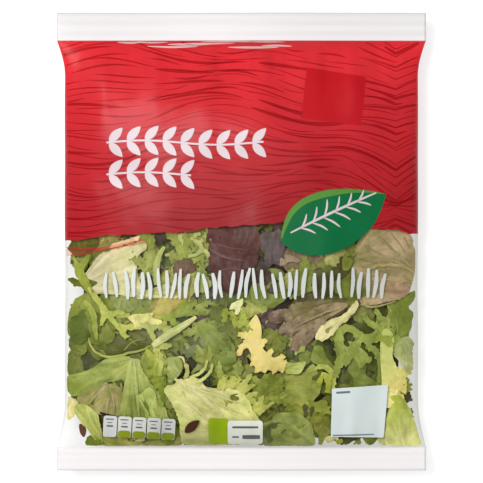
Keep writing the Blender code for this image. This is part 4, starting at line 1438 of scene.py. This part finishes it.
def core_mesh():
    """A lumpy heap that fills the bag behind the leaves, rounded at its corners."""
    across = np.linspace(-1.0, 1.0, CORE_COLUMNS)[None, :]
    along = np.linspace(-1.0, 1.0, CORE_ROWS)[:, None]
    low, high = BOTTOM + BOTTOM_SEAL + CORE_BOTTOM_GAP, TOP - TOP_SEAL - CORE_TOP_GAP
    y = (low + high) / 2 + (high - low) / 2 * along * (1 - 0.06 * across**4)
    x = across * (half_widths(y) - CORE_SIDE_GAP) * (1 - 0.10 * along**6)
    front, back = read_grid(FRONT_GRID, x, y), read_grid(BACK_GRID, x, y)
    lump = np.array([
        noise.fractal(Vector((px, py, 2.0)) / CORE_LUMP_LENGTH, 1.0, 2.0, 3)
        for px, py in zip(x.ravel(), y.ravel())
    ]).reshape(x.shape)
    limit = 0.49 * (front - back)
    rim = np.maximum(np.abs(across), np.abs(along)) ** 10
    upper, lower = (
        soft_under(depth - height * lump, limit) * (1 - rim) + limit * rim
        for depth, height in ((CORE_DEPTH, CORE_LUMP), (CORE_BACK_DEPTH, CORE_BACK_LUMP)))
    return closed_mesh("deep_leaves", x, y, front - upper, back + lower)


upper_left_leaves()
upper_middle_leaves()
upper_right_leaves()
lower_left_leaves()
lower_middle_leaves()
lower_right_leaves()
strewn(SPRIGS, frisee, green, "front", count=120, rows=(-120, 6), layers=(0.9, 1.9),
       lengths=(12, 22), seed=31, cell=0.55, clear=HOLLOWS + BARE + SHOWN)
strewn(STREWN, deep_frisee, deep_green, "front", count=120, rows=(-118, 30),
       layers=(2.2, 4.0), lengths=(26, 46), seed=21, cell=0.95, clear=BARE)
strewn(STREWN, deep_frisee, deep_green, "front", count=40, rows=(20, 104),
       layers=(1.0, 3.5), lengths=(34, 50), seed=23, cell=1.4, clear=())
strewn(STREWN, under_frisee, under_green, "back", count=120, rows=(-118, 104),
       layers=(0.1, 1.5), lengths=(24, 46), seed=22, cell=1.1, clear=BARE)

green_skin = leaf_material("green_leaf", vein_lift=0.5)
lace_skin = leaf_material("green_frisee", veins=0, rim_lift=0.12)
green.build(green_skin)
pale.build(leaf_material("pale_leaf", veins=7, vein_lift=0.35, blotched=0.8, greener=0.35))
red.build(leaf_material("red_leaf", veins=7, vein_lift=0.5, greener=0.3))
frisee.build(lace_skin)
yellow.build(leaf_material("yellow_frisee", veins=0, blotched=0.5))
stems.build(leaf_material("pale_stem", veins=3, vein_lift=0.3, greener=0.5))
for heap in (deep_frisee, deep_green, under_frisee, under_green):
    heap.build(lace_skin)
add_piece("deep_leaves", core_mesh(), core_material())

# ---------------------------------------------------------------- the film

# What the film lets through, seen straight on and at a slant.
STRAIGHT_THROUGH = (0.905, 0.905, 0.90, 1.0)
SLANTING_THROUGH = (0.83, 0.83, 0.805, 1.0)


def film_mesh():
    """Both sheets of the film, joined along the sides and round the ends."""
    x = COLUMN_SHARES[None, :] * ROW_HALF_WIDTHS[:, None]
    y = np.broadcast_to(ROW_PLACES[:, None], x.shape)
    return closed_mesh("film", x, y, FRONT_GRID, BACK_GRID)


def film_material():
    """Clear film with a faint mirror, and milky, crimped seals, the top one darkened as painted
    shade.
    """
    nodes = Nodes("clear_film")
    place = nodes.coordinates()
    height = nodes.part(place, "Y")
    top_edge, bottom_edge = TOP - TOP_SEAL, BOTTOM + BOTTOM_SEAL
    top = nodes.ramp(height, top_edge - SEAL_BLUR, top_edge + SEAL_BLUR)
    bottom = nodes.ramp(height, bottom_edge - SEAL_BLUR, bottom_edge + SEAL_BLUR, 1.0, 0.0)
    seal = nodes.maths("MAXIMUM", top, bottom)
    normal = nodes.bump(nodes.noise(place, 210.0, 3.0, 0.5), 0.10, 0.0008)
    turn = nodes.maths("MULTIPLY_ADD", height, 2 * math.pi / SEAL_BAND, 0.6)
    ridge = nodes.ramp(nodes.maths("COSINE", turn), -0.4, 0.4)
    banded = nodes.mix(ridge, srgb(202, 198, 199), srgb(208, 204, 204))
    # Painted shade: the top seal is tinted darker than the bottom one, and darker again towards its
    # outer edge.
    banded = nodes.mix(bottom, nodes.tinted(banded, (0.96, 0.965, 0.965)), srgb(210, 206, 206))
    outer = nodes.ramp(height, TOP - 9 * MM, TOP - 2 * MM)
    banded = nodes.mix(outer, banded, nodes.tinted(banded, (0.93, 0.94, 0.94)))
    milky = nodes.principled(banded, 0.3, 0.3, Normal=normal)
    shine = nodes.put("BsdfGlossy", 0, {"Roughness": 0.22, "Normal": normal})
    facing = nodes.put("LayerWeight", "Facing", {"Blend": 0.5, "Normal": normal})
    tint = nodes.mix(nodes.ramp(facing, 0.10, 0.45), STRAIGHT_THROUGH, SLANTING_THROUGH)
    clear = nodes.put("BsdfTransparent", 0, {"Color": tint})
    mirror = nodes.maths("MULTIPLY_ADD", nodes.maths("POWER", facing, 4.0), 0.42, 0.003)
    bare = nodes.put("MixShader", 0, {0: mirror, 1: clear, 2: shine})
    shader = nodes.put("MixShader", 0, {0: nodes.maths("MULTIPLY", seal, 0.75), 1: bare, 2: milky})
    return nodes.finish(shader)


add_piece("film", film_mesh(), film_material())

# ---------------------------------------------------------------- the print

# How deep each ink lies under the film, in metres. The label is stuck on its outside.
INK_DEPTHS = {
    "print_red": 0.00030,
    "print_wash": 0.00026,
    "print_brush_front": 0.00024,
    "print_brush_back": 0.00024,
    "print_edge_lines": 0.00022,
    "print_top_streaks": 0.00020,
    "print_badge": 0.00018,
    "print_panel": 0.00018,
    "print_panels_white": 0.00016,
    "print_panel_wide": 0.00016,
    "print_badge_light": 0.00014,
    "print_panels_lime": 0.00012,
    "print_panels_feet": 0.00012,
    "print_white": 0.00010,
    "print_blades": 0.00010,
    "print_marks": 0.00008,
    "print_leaf_mark": 0.00008,
    "label": -0.00012,
    "label_marks": -0.00020,
}
PRINT_SPACING = 1.5
INK_ROUGHNESS = 0.4


class Print:
    """Flat shapes of one ink, laid just inside the front of the film or its back."""

    def __init__(self, name):
        self.name, self.depth = name, INK_DEPTHS[name]
        self.points, self.faces, self.count = [], [], 0

    def add(self, flat, faces, grid=FRONT_GRID):
        """Lays flat faces, given in metres, along one side of the film."""
        heights = ink_heights(flat[:, 0], flat[:, 1], self.depth, grid)
        if grid is BACK_GRID:
            faces = [list(reversed(face)) for face in faces]
        self.faces += [[i + self.count for i in face] for face in faces]
        self.points.append(np.column_stack([flat, heights]))
        self.count += len(flat)

    def patch(self, outline):
        """Fills an outline in millimetres."""
        corners = to_bag(outline)
        ring = []
        for here, after in zip(corners, np.roll(corners, -1, 0)):
            pieces = max(1, int(np.hypot(*(after - here)) / (PRINT_SPACING * MM)))
            ring += [here + (after - here) * step / pieces for step in range(pieces)]
        self.add(*filled(np.array(ring), PRINT_SPACING * MM))

    def stroke(self, x, y, widths, grid=FRONT_GRID):
        """A strip along a line of points in millimetres, with its width at each."""
        run_x, run_y = np.gradient(x), np.gradient(y)
        size = np.hypot(run_x, run_y)
        side = np.column_stack([-run_y / size, run_x / size]) * (np.asarray(widths) / 2)[:, None]
        line = np.column_stack([x, y])
        flat = to_bag(np.stack([line - side, line + side], axis=1).reshape(-1, 2))
        faces = [[2 * i, 2 * i + 2, 2 * i + 3, 2 * i + 1] for i in range(len(x) - 1)]
        self.add(flat, faces, grid)

    def path(self, corners, width, taper=1.0):
        """A brush stroke through given corners, thin at both ends."""
        line = smooth_line(corners, 1.0, False)
        share = np.linspace(0.0, 1.0, len(line))
        swell = 1 - taper + taper * np.sin(math.pi * (0.04 + 0.92 * share)) ** 0.7
        self.stroke(line[:, 0], line[:, 1], width * swell)

    def build(self, material):
        mesh = new_mesh(self.name, np.concatenate(self.points), self.faces)
        return add_piece(self.name, mesh, material)


def ink_material(name, colour, cover, through=(1.0, 1.0, 1.0, 1.0), uneven=0.05, fade=0.0):
    """Ink that covers all but a share of what lies behind it, with painted shade by fade: darker
    towards its foot.

    The painted shade is strongest in the middle of the bag.
    """
    nodes = Nodes(name)
    place = nodes.coordinates()
    value = nodes.ramp(nodes.noise(place, 35.0, 3.0), 0.3, 0.7, 1.0 - uneven, 1.0 + uneven)
    # Painted shade: fade darkens the ink towards its foot.
    if fade:
        across = nodes.maths("ABSOLUTE", nodes.part(place, "X"))
        foot = nodes.ramp(across, 0.02, 0.10, 1.0 - 1.2 * fade, 1.0 - 0.85 * fade)
        painted_foot_shade = nodes.ramp(nodes.part(place, "Y"), 0.0, 0.11, foot, 1.0)
        value = nodes.maths("MULTIPLY", value, painted_foot_shade)
    shade = nodes.put("HueSaturation", 0, {"Color": colour, "Value": value})
    ink = nodes.principled(shade, INK_ROUGHNESS, 0.08)
    if cover == 1.0:
        return nodes.finish(ink)
    clear = nodes.put("BsdfTransparent", 0, {"Color": through})
    return nodes.finish(nodes.put("MixShader", 0, {0: cover, 1: clear, 2: ink}))


# Where the red print ends: shares across the bag and millimetres along it.
RED_EDGE_SHARES = (-1.0, -0.9, -0.8, -0.6, -0.45, -0.3, -0.1, 0.1, 0.25, 0.5, 0.72, 0.86, 0.95, 1.0)
RED_EDGE_PLACES = (0.0, 1.4, 3.0, 4.5, 5.0, 6.0, 9.0, 9.8, 12.0, 11.0, 8.0, 7.0, 4.6, 4.8)
RED_TOP = (TOP - TOP_SEAL) / MM
# The brush lines are mirrored about this place across the bag. Over this reach they dip
# towards it, or rise low down, by up to this much.
MIRROR = 92.0
MIRROR_REACH = 34.0
MIRROR_DIP = 10.0


def red_edge(share):
    """The lower edge of the red print, in millimetres along the bag."""
    ripple = 0.35 * np.sin(23 * share) + 0.25 * np.sin(57 * share + 1) + 0.15 * np.sin(131 * share)
    return np.interp(share, RED_EDGE_SHARES, RED_EDGE_PLACES) + ripple


def red_sheet():
    """The red print over the top of the bag, front and back."""
    ink = Print("print_red")
    rows, columns = 86, 170
    share = np.linspace(-1.0, 1.0, columns)[None, :]
    part = np.linspace(0.0, 1.0, rows)[:, None]
    y = (red_edge(share) + (RED_TOP - red_edge(share)) * part) * MM
    flat = np.stack([share * half_widths(y), y], axis=-1).reshape(-1, 2)
    ink.add(flat, grid_faces(rows, columns))
    ink.add(flat, grid_faces(rows, columns), BACK_GRID)
    return ink


def red_wash():
    """Thin red brushed out below the print at its left end."""
    ink = Print("print_wash")
    ink.patch([
        (-104.5, -3.0), (-96, -3.6), (-86, -3.2), (-74, -1.6), (-62, 1.0), (-57, 1.6), (-57, -0.8),
        (-66, -2.2), (-75, -3.8), (-86, -6), (-95, -8.2), (-104.5, -8.6)])
    return ink


def brush_flow(x, level):
    """How far along the bag a brush line of this level runs, at places across it."""
    away = np.abs(x - MIRROR)
    wrapped = MIRROR - away
    flow = 6.0 * np.sin(wrapped / 33 + level / 31) + 3.5 * np.sin(wrapped / 15.5 - level / 19)
    depth = MIRROR_DIP * (clamp((level - 28.0) / 10.0, -1.0) + 0.8 * clamp((level - 88.0) / 18.0))
    return level + flow - depth * np.clip(1 - away / MIRROR_REACH, 0.0, 1.0) ** 1.6


def brush_lines(grid, seed):
    """Long tapered brush lines that flow across the red print."""
    rng = np.random.default_rng(seed)
    lines = Print("print_brush_front" if grid is FRONT_GRID else "print_brush_back")
    side = BODY_WIDTH / 2 / MM
    level = -6.0
    while level < RED_TOP + 20.0:
        x = -side - rng.uniform(0, 30)
        boldest = rng.choice([0.8, 1.2, 2.2])
        level += rng.uniform(1.7, 3.9)
        while x < side:
            run = rng.uniform(14, 70)
            px = np.arange(x, x + run, 1.2)
            share = np.linspace(0.0, 1.0, len(px))
            py = brush_flow(px, level) + rng.uniform(-0.9, 0.9)
            py = py + 1.2 * np.sin(3 * share + rng.uniform(0, 6))
            swell = np.sin(math.pi * (0.02 + 0.96 * share) ** rng.uniform(0.6, 1.5)) ** 0.8
            reach = half_widths(py * MM) / MM
            inside = (np.abs(px) < reach - 0.4) & (py < RED_TOP - 0.6)
            keep = np.flatnonzero(inside & (py > red_edge(px / reach) + 0.5))
            if len(keep) > 6 and keep[-1] - keep[0] == len(keep) - 1:
                widths = (rng.uniform(0.4, boldest) * swell)[keep] + 0.08
                lines.stroke(px[keep], py[keep], widths, grid)
            x += run + rng.uniform(1, 12)
    return lines


def lower_edge_lines():
    """The loose strokes below the red print at its left."""
    lines = Print("print_edge_lines")
    lines.path([(-104.3, -3.6), (-99, -4.4), (-92, -4.6), (-85, -4.2), (-80, -3.2)], 0.8)
    lines.path([
        (-104.3, -8.0), (-96, -8.0), (-86, -5.8), (-74, -3.4), (-64, -1.6), (-57, -0.6)], 0.55)
    lines.path([(-98, -1.6), (-90, -1.4), (-80, 0.6), (-70, 2.2)], 0.4)
    return lines


def leaf_outline(x, y, turn, length, half, blunt=0.85, round_off=0.8, steps=18):
    """A pointed leaf from its base at x, y, as one closed outline."""
    share = np.linspace(0.0, 1.0, steps)
    bulge = half * np.sin(math.pi * share**blunt) ** round_off
    along = np.concatenate([share, share[-2:0:-1]]) * length
    across = np.concatenate([bulge, -bulge[-2:0:-1]])
    px, py = placed(x, y, turn, along, across)
    return list(zip(px[::-1], py[::-1]))


def rounded_box(x, y, width, height, radius, turn=0.0, steps=5):
    """A box with round corners about its middle x, y."""
    outline = []
    for corner, (side_x, side_y) in enumerate(((1, 1), (-1, 1), (-1, -1), (1, -1))):
        for step in range(steps):
            angle = math.pi / 2 * (corner + step / (steps - 1))
            outline.append((
                side_x * (width / 2 - radius) + radius * math.cos(angle),
                side_y * (height / 2 - radius) + radius * math.sin(angle),
            ))
    return [placed(x, y, turn, along, left) for along, left in outline]


# The badge's root, the way its middle points, its length, and its two edges.
BADGE_ROOT = (23.0, 2.0)
BADGE_TURN = 25.0
BADGE_LENGTH = 70.5
BADGE_TOP = [
    (23.3, 0.4), (24.2, 7.2), (27.8, 17.0), (34.7, 24.4), (43.8, 28.9), (52.5, 30.9), (64.3, 31.5),
    (76, 30.4), (86.4, 28.4),
]
BADGE_FOOT = [
    (86.4, 28.4), (82.8, 17.8), (77.8, 8.8), (67.4, -0.6), (56.0, -6.4), (44.6, -8.3), (33.7, -6.6),
    (27.2, -3.2), (23.3, 0.4),
]


def badge_point(share, offset):
    """A place on the badge: share along it and millimetres to the left of its middle."""
    return placed(*BADGE_ROOT, BADGE_TURN, share * BADGE_LENGTH, offset)


def badge():
    """The green leaf-shaped badge."""
    dark = Print("print_badge")
    top, foot = smooth_line(BADGE_TOP, 1.2, False), smooth_line(BADGE_FOOT, 1.2, False)
    dark.patch(np.concatenate([foot[:-1], top[:-1]])[::-1])
    return dark


def badge_light():
    """A lighter sickle along the badge's upper edge."""
    light = Print("print_badge_light")
    outer = smooth_line(BADGE_TOP, 1.2, False)
    share = np.linspace(0.0, 1.0, len(outer))
    middle = np.array([54.0, 13.0])
    inward = (middle - outer) / np.hypot(*(middle - outer).T)[:, None]
    inner = outer + inward * (4.2 * np.sin(math.pi * share**0.8) ** 0.7)[:, None]
    light.patch(np.concatenate([outer[1:-1], inner[-2:0:-1]]) + inward.mean(axis=0) * 0.2)
    return light


def white_print():
    """Plain white shapes where lettering would be: sprigs and a veined badge."""
    white = Print("print_white")
    pace = 10.7
    for row_x, row_y, count in ((-80.5, 59.0, 9), (-80.5, 40.0, 5)):
        stem_x = np.arange(row_x, row_x + pace * count - 2, 1.2)
        stem_y = row_y + 1.3 * np.sin((stem_x - row_x) / 14)
        white.stroke(stem_x, stem_y, np.full(len(stem_x), 1.1))
        for step in range(count):
            for hand in (1, -1):
                base = row_x + pace * (step + 0.15)
                lift = row_y + 1.3 * math.sin((base - row_x) / 14)
                white.patch(leaf_outline(base, lift + hand * 0.4, hand * 46, 11.5, 2.6))
    middle = [badge_point(s, 0.8 * math.sin(3 * s)) for s in np.linspace(0.10, 0.90, 9)]
    white.path(middle, 1.5, 0.6)
    for step in range(6):
        start = 0.20 + 0.105 * step
        reach = 9.0 - 1.3 * abs(step - 2)
        for hand in (1, -1):
            white.path([badge_point(start, 0), badge_point(start + 0.055, hand * reach * 0.5),
                        badge_point(start + 0.09, hand * reach)], 1.2, 0.8)
    return white


def grass_blades():
    """A row of slim white blades, some leaning, in loose groups."""
    rng = np.random.default_rng(11)
    blades = Print("print_blades")
    x = -80.5
    for group in (2, 4, 5, 4, 5, 5, 4, 5):
        for _ in range(group):
            height, lean = rng.uniform(14.5, 18.5), rng.uniform(-3.2, 3.2)
            foot = -34.2 + rng.uniform(-0.5, 1.2)
            bow = rng.uniform(-1.0, 1.0)
            low, middle = (x - lean / 2, foot), (x + bow, foot + height / 2)
            tip = (x + lean / 2, foot + height)
            blades.path([low, middle, tip], rng.uniform(2.1, 2.8), 0.6)
            x += rng.uniform(4.0, 5.2)
        x += 2.2
    return blades


def plain_patch():
    """A plain red panel in the upper right of the print."""
    panel = Print("print_panel")
    panel.patch([(39.2, 103.8), (74.0, 98.2), (73.2, 86), (71.0, 69.0), (35.8, 73.4), (37.4, 90)])
    return panel


# The middles of the small white panels.
SMALL_PANELS = [(-78.4 + 8.7 * step, -110.2 - 0.45 * step) for step in range(5)]


def small_panels():
    """A row of white panels with lime feet, a lime panel and a wide white one."""
    white, lime = Print("print_panels_white"), Print("print_panels_lime")
    feet = Print("print_panels_feet")
    for step, (x, y) in enumerate(SMALL_PANELS):
        white.patch(rounded_box(x, y, 8.1, 12.6, 1.6, -3))
        if step:
            feet.patch(rounded_box(x - 0.2, y - 4.2, 7.8, 4.2, 1.9, -3))
    wide = Print("print_panel_wide")
    wide.patch(rounded_box(2.2, -113.8, 21.0, 14.0, 1.6))
    lime.patch(rounded_box(-14.0, -113.0, 11.2, 14.8, 0.8))
    return white, lime, feet, wide


def small_marks():
    """Plain dark dashes where small print would be."""
    marks = Print("print_marks")
    for x, y in SMALL_PANELS:
        marks.path([(x - 2.6, y + 4.4), (x + 2.4, y + 4.2)], 0.7, 0.2)
        marks.path([(x - 1.6, y + 2.3), (x + 1.4, y + 2.2)], 0.5, 0.2)
        marks.path([(x - 2.1, y + 0.3), (x + 1.9, y + 0.1)], 1.0, 0.2)
    for x, y, run, width in (
        (-5.5, -110.8, 15.5, 1.3), (-5.5, -116.6, 4.0, 1.0), (0.5, -116.6, 10.5, 2.4),
    ):
        marks.path([(x, y), (x + run, y)], width, 0.1)
    return marks


def leaf_mark():
    """A small dark leaf between the panels."""
    mark = Print("print_leaf_mark")
    mark.patch(leaf_outline(-33.8, -113.9, 40, 11.4, 2.7))
    return mark


def sticker():
    """A blank grey label stuck on the outside of the film."""
    paper = Print("label")
    paper.patch([
        (54.0, -87.7), (87.4, -85.4), (86.2, -101), (84.7, -116.9), (53.2, -116.4), (53.6, -102)])
    return paper


def sticker_marks():
    """Plain dark lines on the label, where small print would be."""
    marks = Print("label_marks")
    marks.path([(56.5, -90.2), (64.8, -89.7)], 1.3, 0.1)
    marks.path([(54.5, -115.6), (66, -115.4), (79, -115.0)], 0.7, 0.1)
    return marks


def top_pale_streaks():
    """Pale streaks along the upper edge of the red print."""
    rng = np.random.default_rng(3)
    pale_streaks = Print("print_top_streaks")
    for x, run in (
        (-74, 16), (-62, 18), (-56, 30), (-44, 26), (-34, 30), (-24, 34), (-8, 30), (4, 22),
        (12, 18),
    ):
        y = RED_TOP - rng.uniform(0.6, 4.4)
        middle = (x + run / 2, y + rng.uniform(-0.6, 0.2))
        end = (x + run, y + rng.uniform(-0.4, 0.4))
        pale_streaks.path([(x, y), middle, end], rng.uniform(0.8, 1.5))
    return pale_streaks


# What each thin ink lets through where it doesn't cover.
RED_THROUGH = (0.85, 0.03, 0.04, 1.0)
WASH_THROUGH = (0.97, 0.84, 0.78, 1.0)
DARK_RED_THROUGH = (0.86, 0.66, 0.66, 1.0)
EDGE_RED_THROUGH = (0.90, 0.45, 0.42, 1.0)

red_sheet().build(ink_material("red_ink", srgb(217, 45, 54), 0.78, RED_THROUGH, fade=0.46))
red_wash().build(ink_material("red_wash_ink", srgb(204, 84, 74), 0.16, WASH_THROUGH))
dark_red = ink_material("dark_red_ink", srgb(164, 24, 34), 0.26, DARK_RED_THROUGH)
brush_lines(FRONT_GRID, 5).build(dark_red)
brush_lines(BACK_GRID, 6).build(dark_red)
edge_red = ink_material("edge_red_ink", srgb(178, 36, 38), 0.66, EDGE_RED_THROUGH)
lower_edge_lines().build(edge_red)
top_pale_streaks().build(ink_material("pale_streak_ink", srgb(240, 206, 206), 0.62))
plain_patch().build(ink_material("panel_red_ink", srgb(174, 18, 28), 0.98, uneven=0.0))
badge().build(ink_material("badge_green_ink", srgb(6, 97, 54), 1.0))
badge_light().build(ink_material("badge_light_ink", srgb(84, 136, 56), 0.9))
white_ink = ink_material("white_ink", srgb(200, 185, 190), 0.97)
white_print().build(white_ink)
grass_blades().build(ink_material("white_brush_ink", srgb(194, 198, 194), 0.92))
panels_white, panels_lime, panels_feet, panel_wide = small_panels()
panels_white.build(ink_material("panel_white_ink", srgb(198, 198, 196), 0.95))
panel_wide.build(ink_material("bright_panel_ink", srgb(220, 223, 212), 0.97))
panels_lime.build(ink_material("lime_ink", srgb(140, 166, 16), 1.0))
panels_feet.build(ink_material("dark_lime_ink", srgb(125, 138, 28), 1.0))
small_marks().build(ink_material("grey_ink", srgb(96, 98, 104), 0.9))
leaf_mark().build(ink_material("brown_ink", srgb(66, 38, 24), 1.0))
sticker().build(ink_material("label_paper", srgb(181, 190, 188), 1.0, uneven=0.02))
sticker_marks().build(ink_material("label_ink", srgb(90, 98, 104), 1.0))

# ---------------------------------------------------------------- stage

FLOOR_REACH = 3.0
FLOOR_DROP = 0.0002
FLOOR_TONE = (0.42, 0.42, 0.42, 1.0)
FLOOR_GLOW = 0.59
WHITE = (1.0, 1.0, 1.0, 1.0)


def floor():
    """A pale floor that glows a little, as a light table does, just under the bag."""
    mesh = bpy.data.meshes.new("floor")
    signs = ((-1, -1), (1, -1), (1, 1), (-1, 1))
    corners = [(x * FLOOR_REACH, y * FLOOR_REACH, 0) for x, y in signs]
    mesh.from_pydata(corners, [], [(0, 1, 2, 3)])
    plane = bpy.data.objects.new("floor", mesh)
    bpy.context.scene.collection.objects.link(plane)
    plane.location.z = -FLOOR_DROP
    nodes = Nodes("pale_floor")
    glow = {"Emission Color": WHITE, "Emission Strength": FLOOR_GLOW}
    plane.data.materials.append(nodes.finish(nodes.principled(FLOOR_TONE, 0.9, 0.0, **glow)))


def area_light(name, place, size, power):
    """A soft square light that faces the bag."""
    light = bpy.data.lights.new(name, "AREA")
    light.size = size
    light.energy = power
    lamp = bpy.data.objects.new(name, light)
    bpy.context.scene.collection.objects.link(lamp)
    lamp.location = place
    lamp.rotation_euler = (-Vector(place)).to_track_quat("-Z", "Y").to_euler()


def world_light(strength):
    world = bpy.data.worlds.new("studio")
    world.use_nodes = True
    background = world.node_tree.nodes["Background"]
    background.inputs["Color"].default_value = WHITE
    background.inputs["Strength"].default_value = strength
    bpy.context.scene.world = world


def camera():
    """A camera straight above the bag."""
    data = bpy.data.cameras.new("camera")
    data.sensor_width = SENSOR_WIDTH
    data.lens = SENSOR_WIDTH * (CAMERA_HEIGHT - EDGE_HEIGHT) / FRAMED
    viewer = bpy.data.objects.new("camera", data)
    viewer.location = (0.0, 0.0, CAMERA_HEIGHT)
    bpy.context.scene.collection.objects.link(viewer)
    bpy.context.scene.camera = viewer


floor()
world_light(strength=0.46)
area_light("overhead", place=(0.0, 0.0, 1.9), size=1.6, power=18.0)
area_light("key", place=(-0.58, 0.36, 1.42), size=0.6, power=23.0)
camera()
bpy.context.scene.view_settings.view_transform = "Standard"
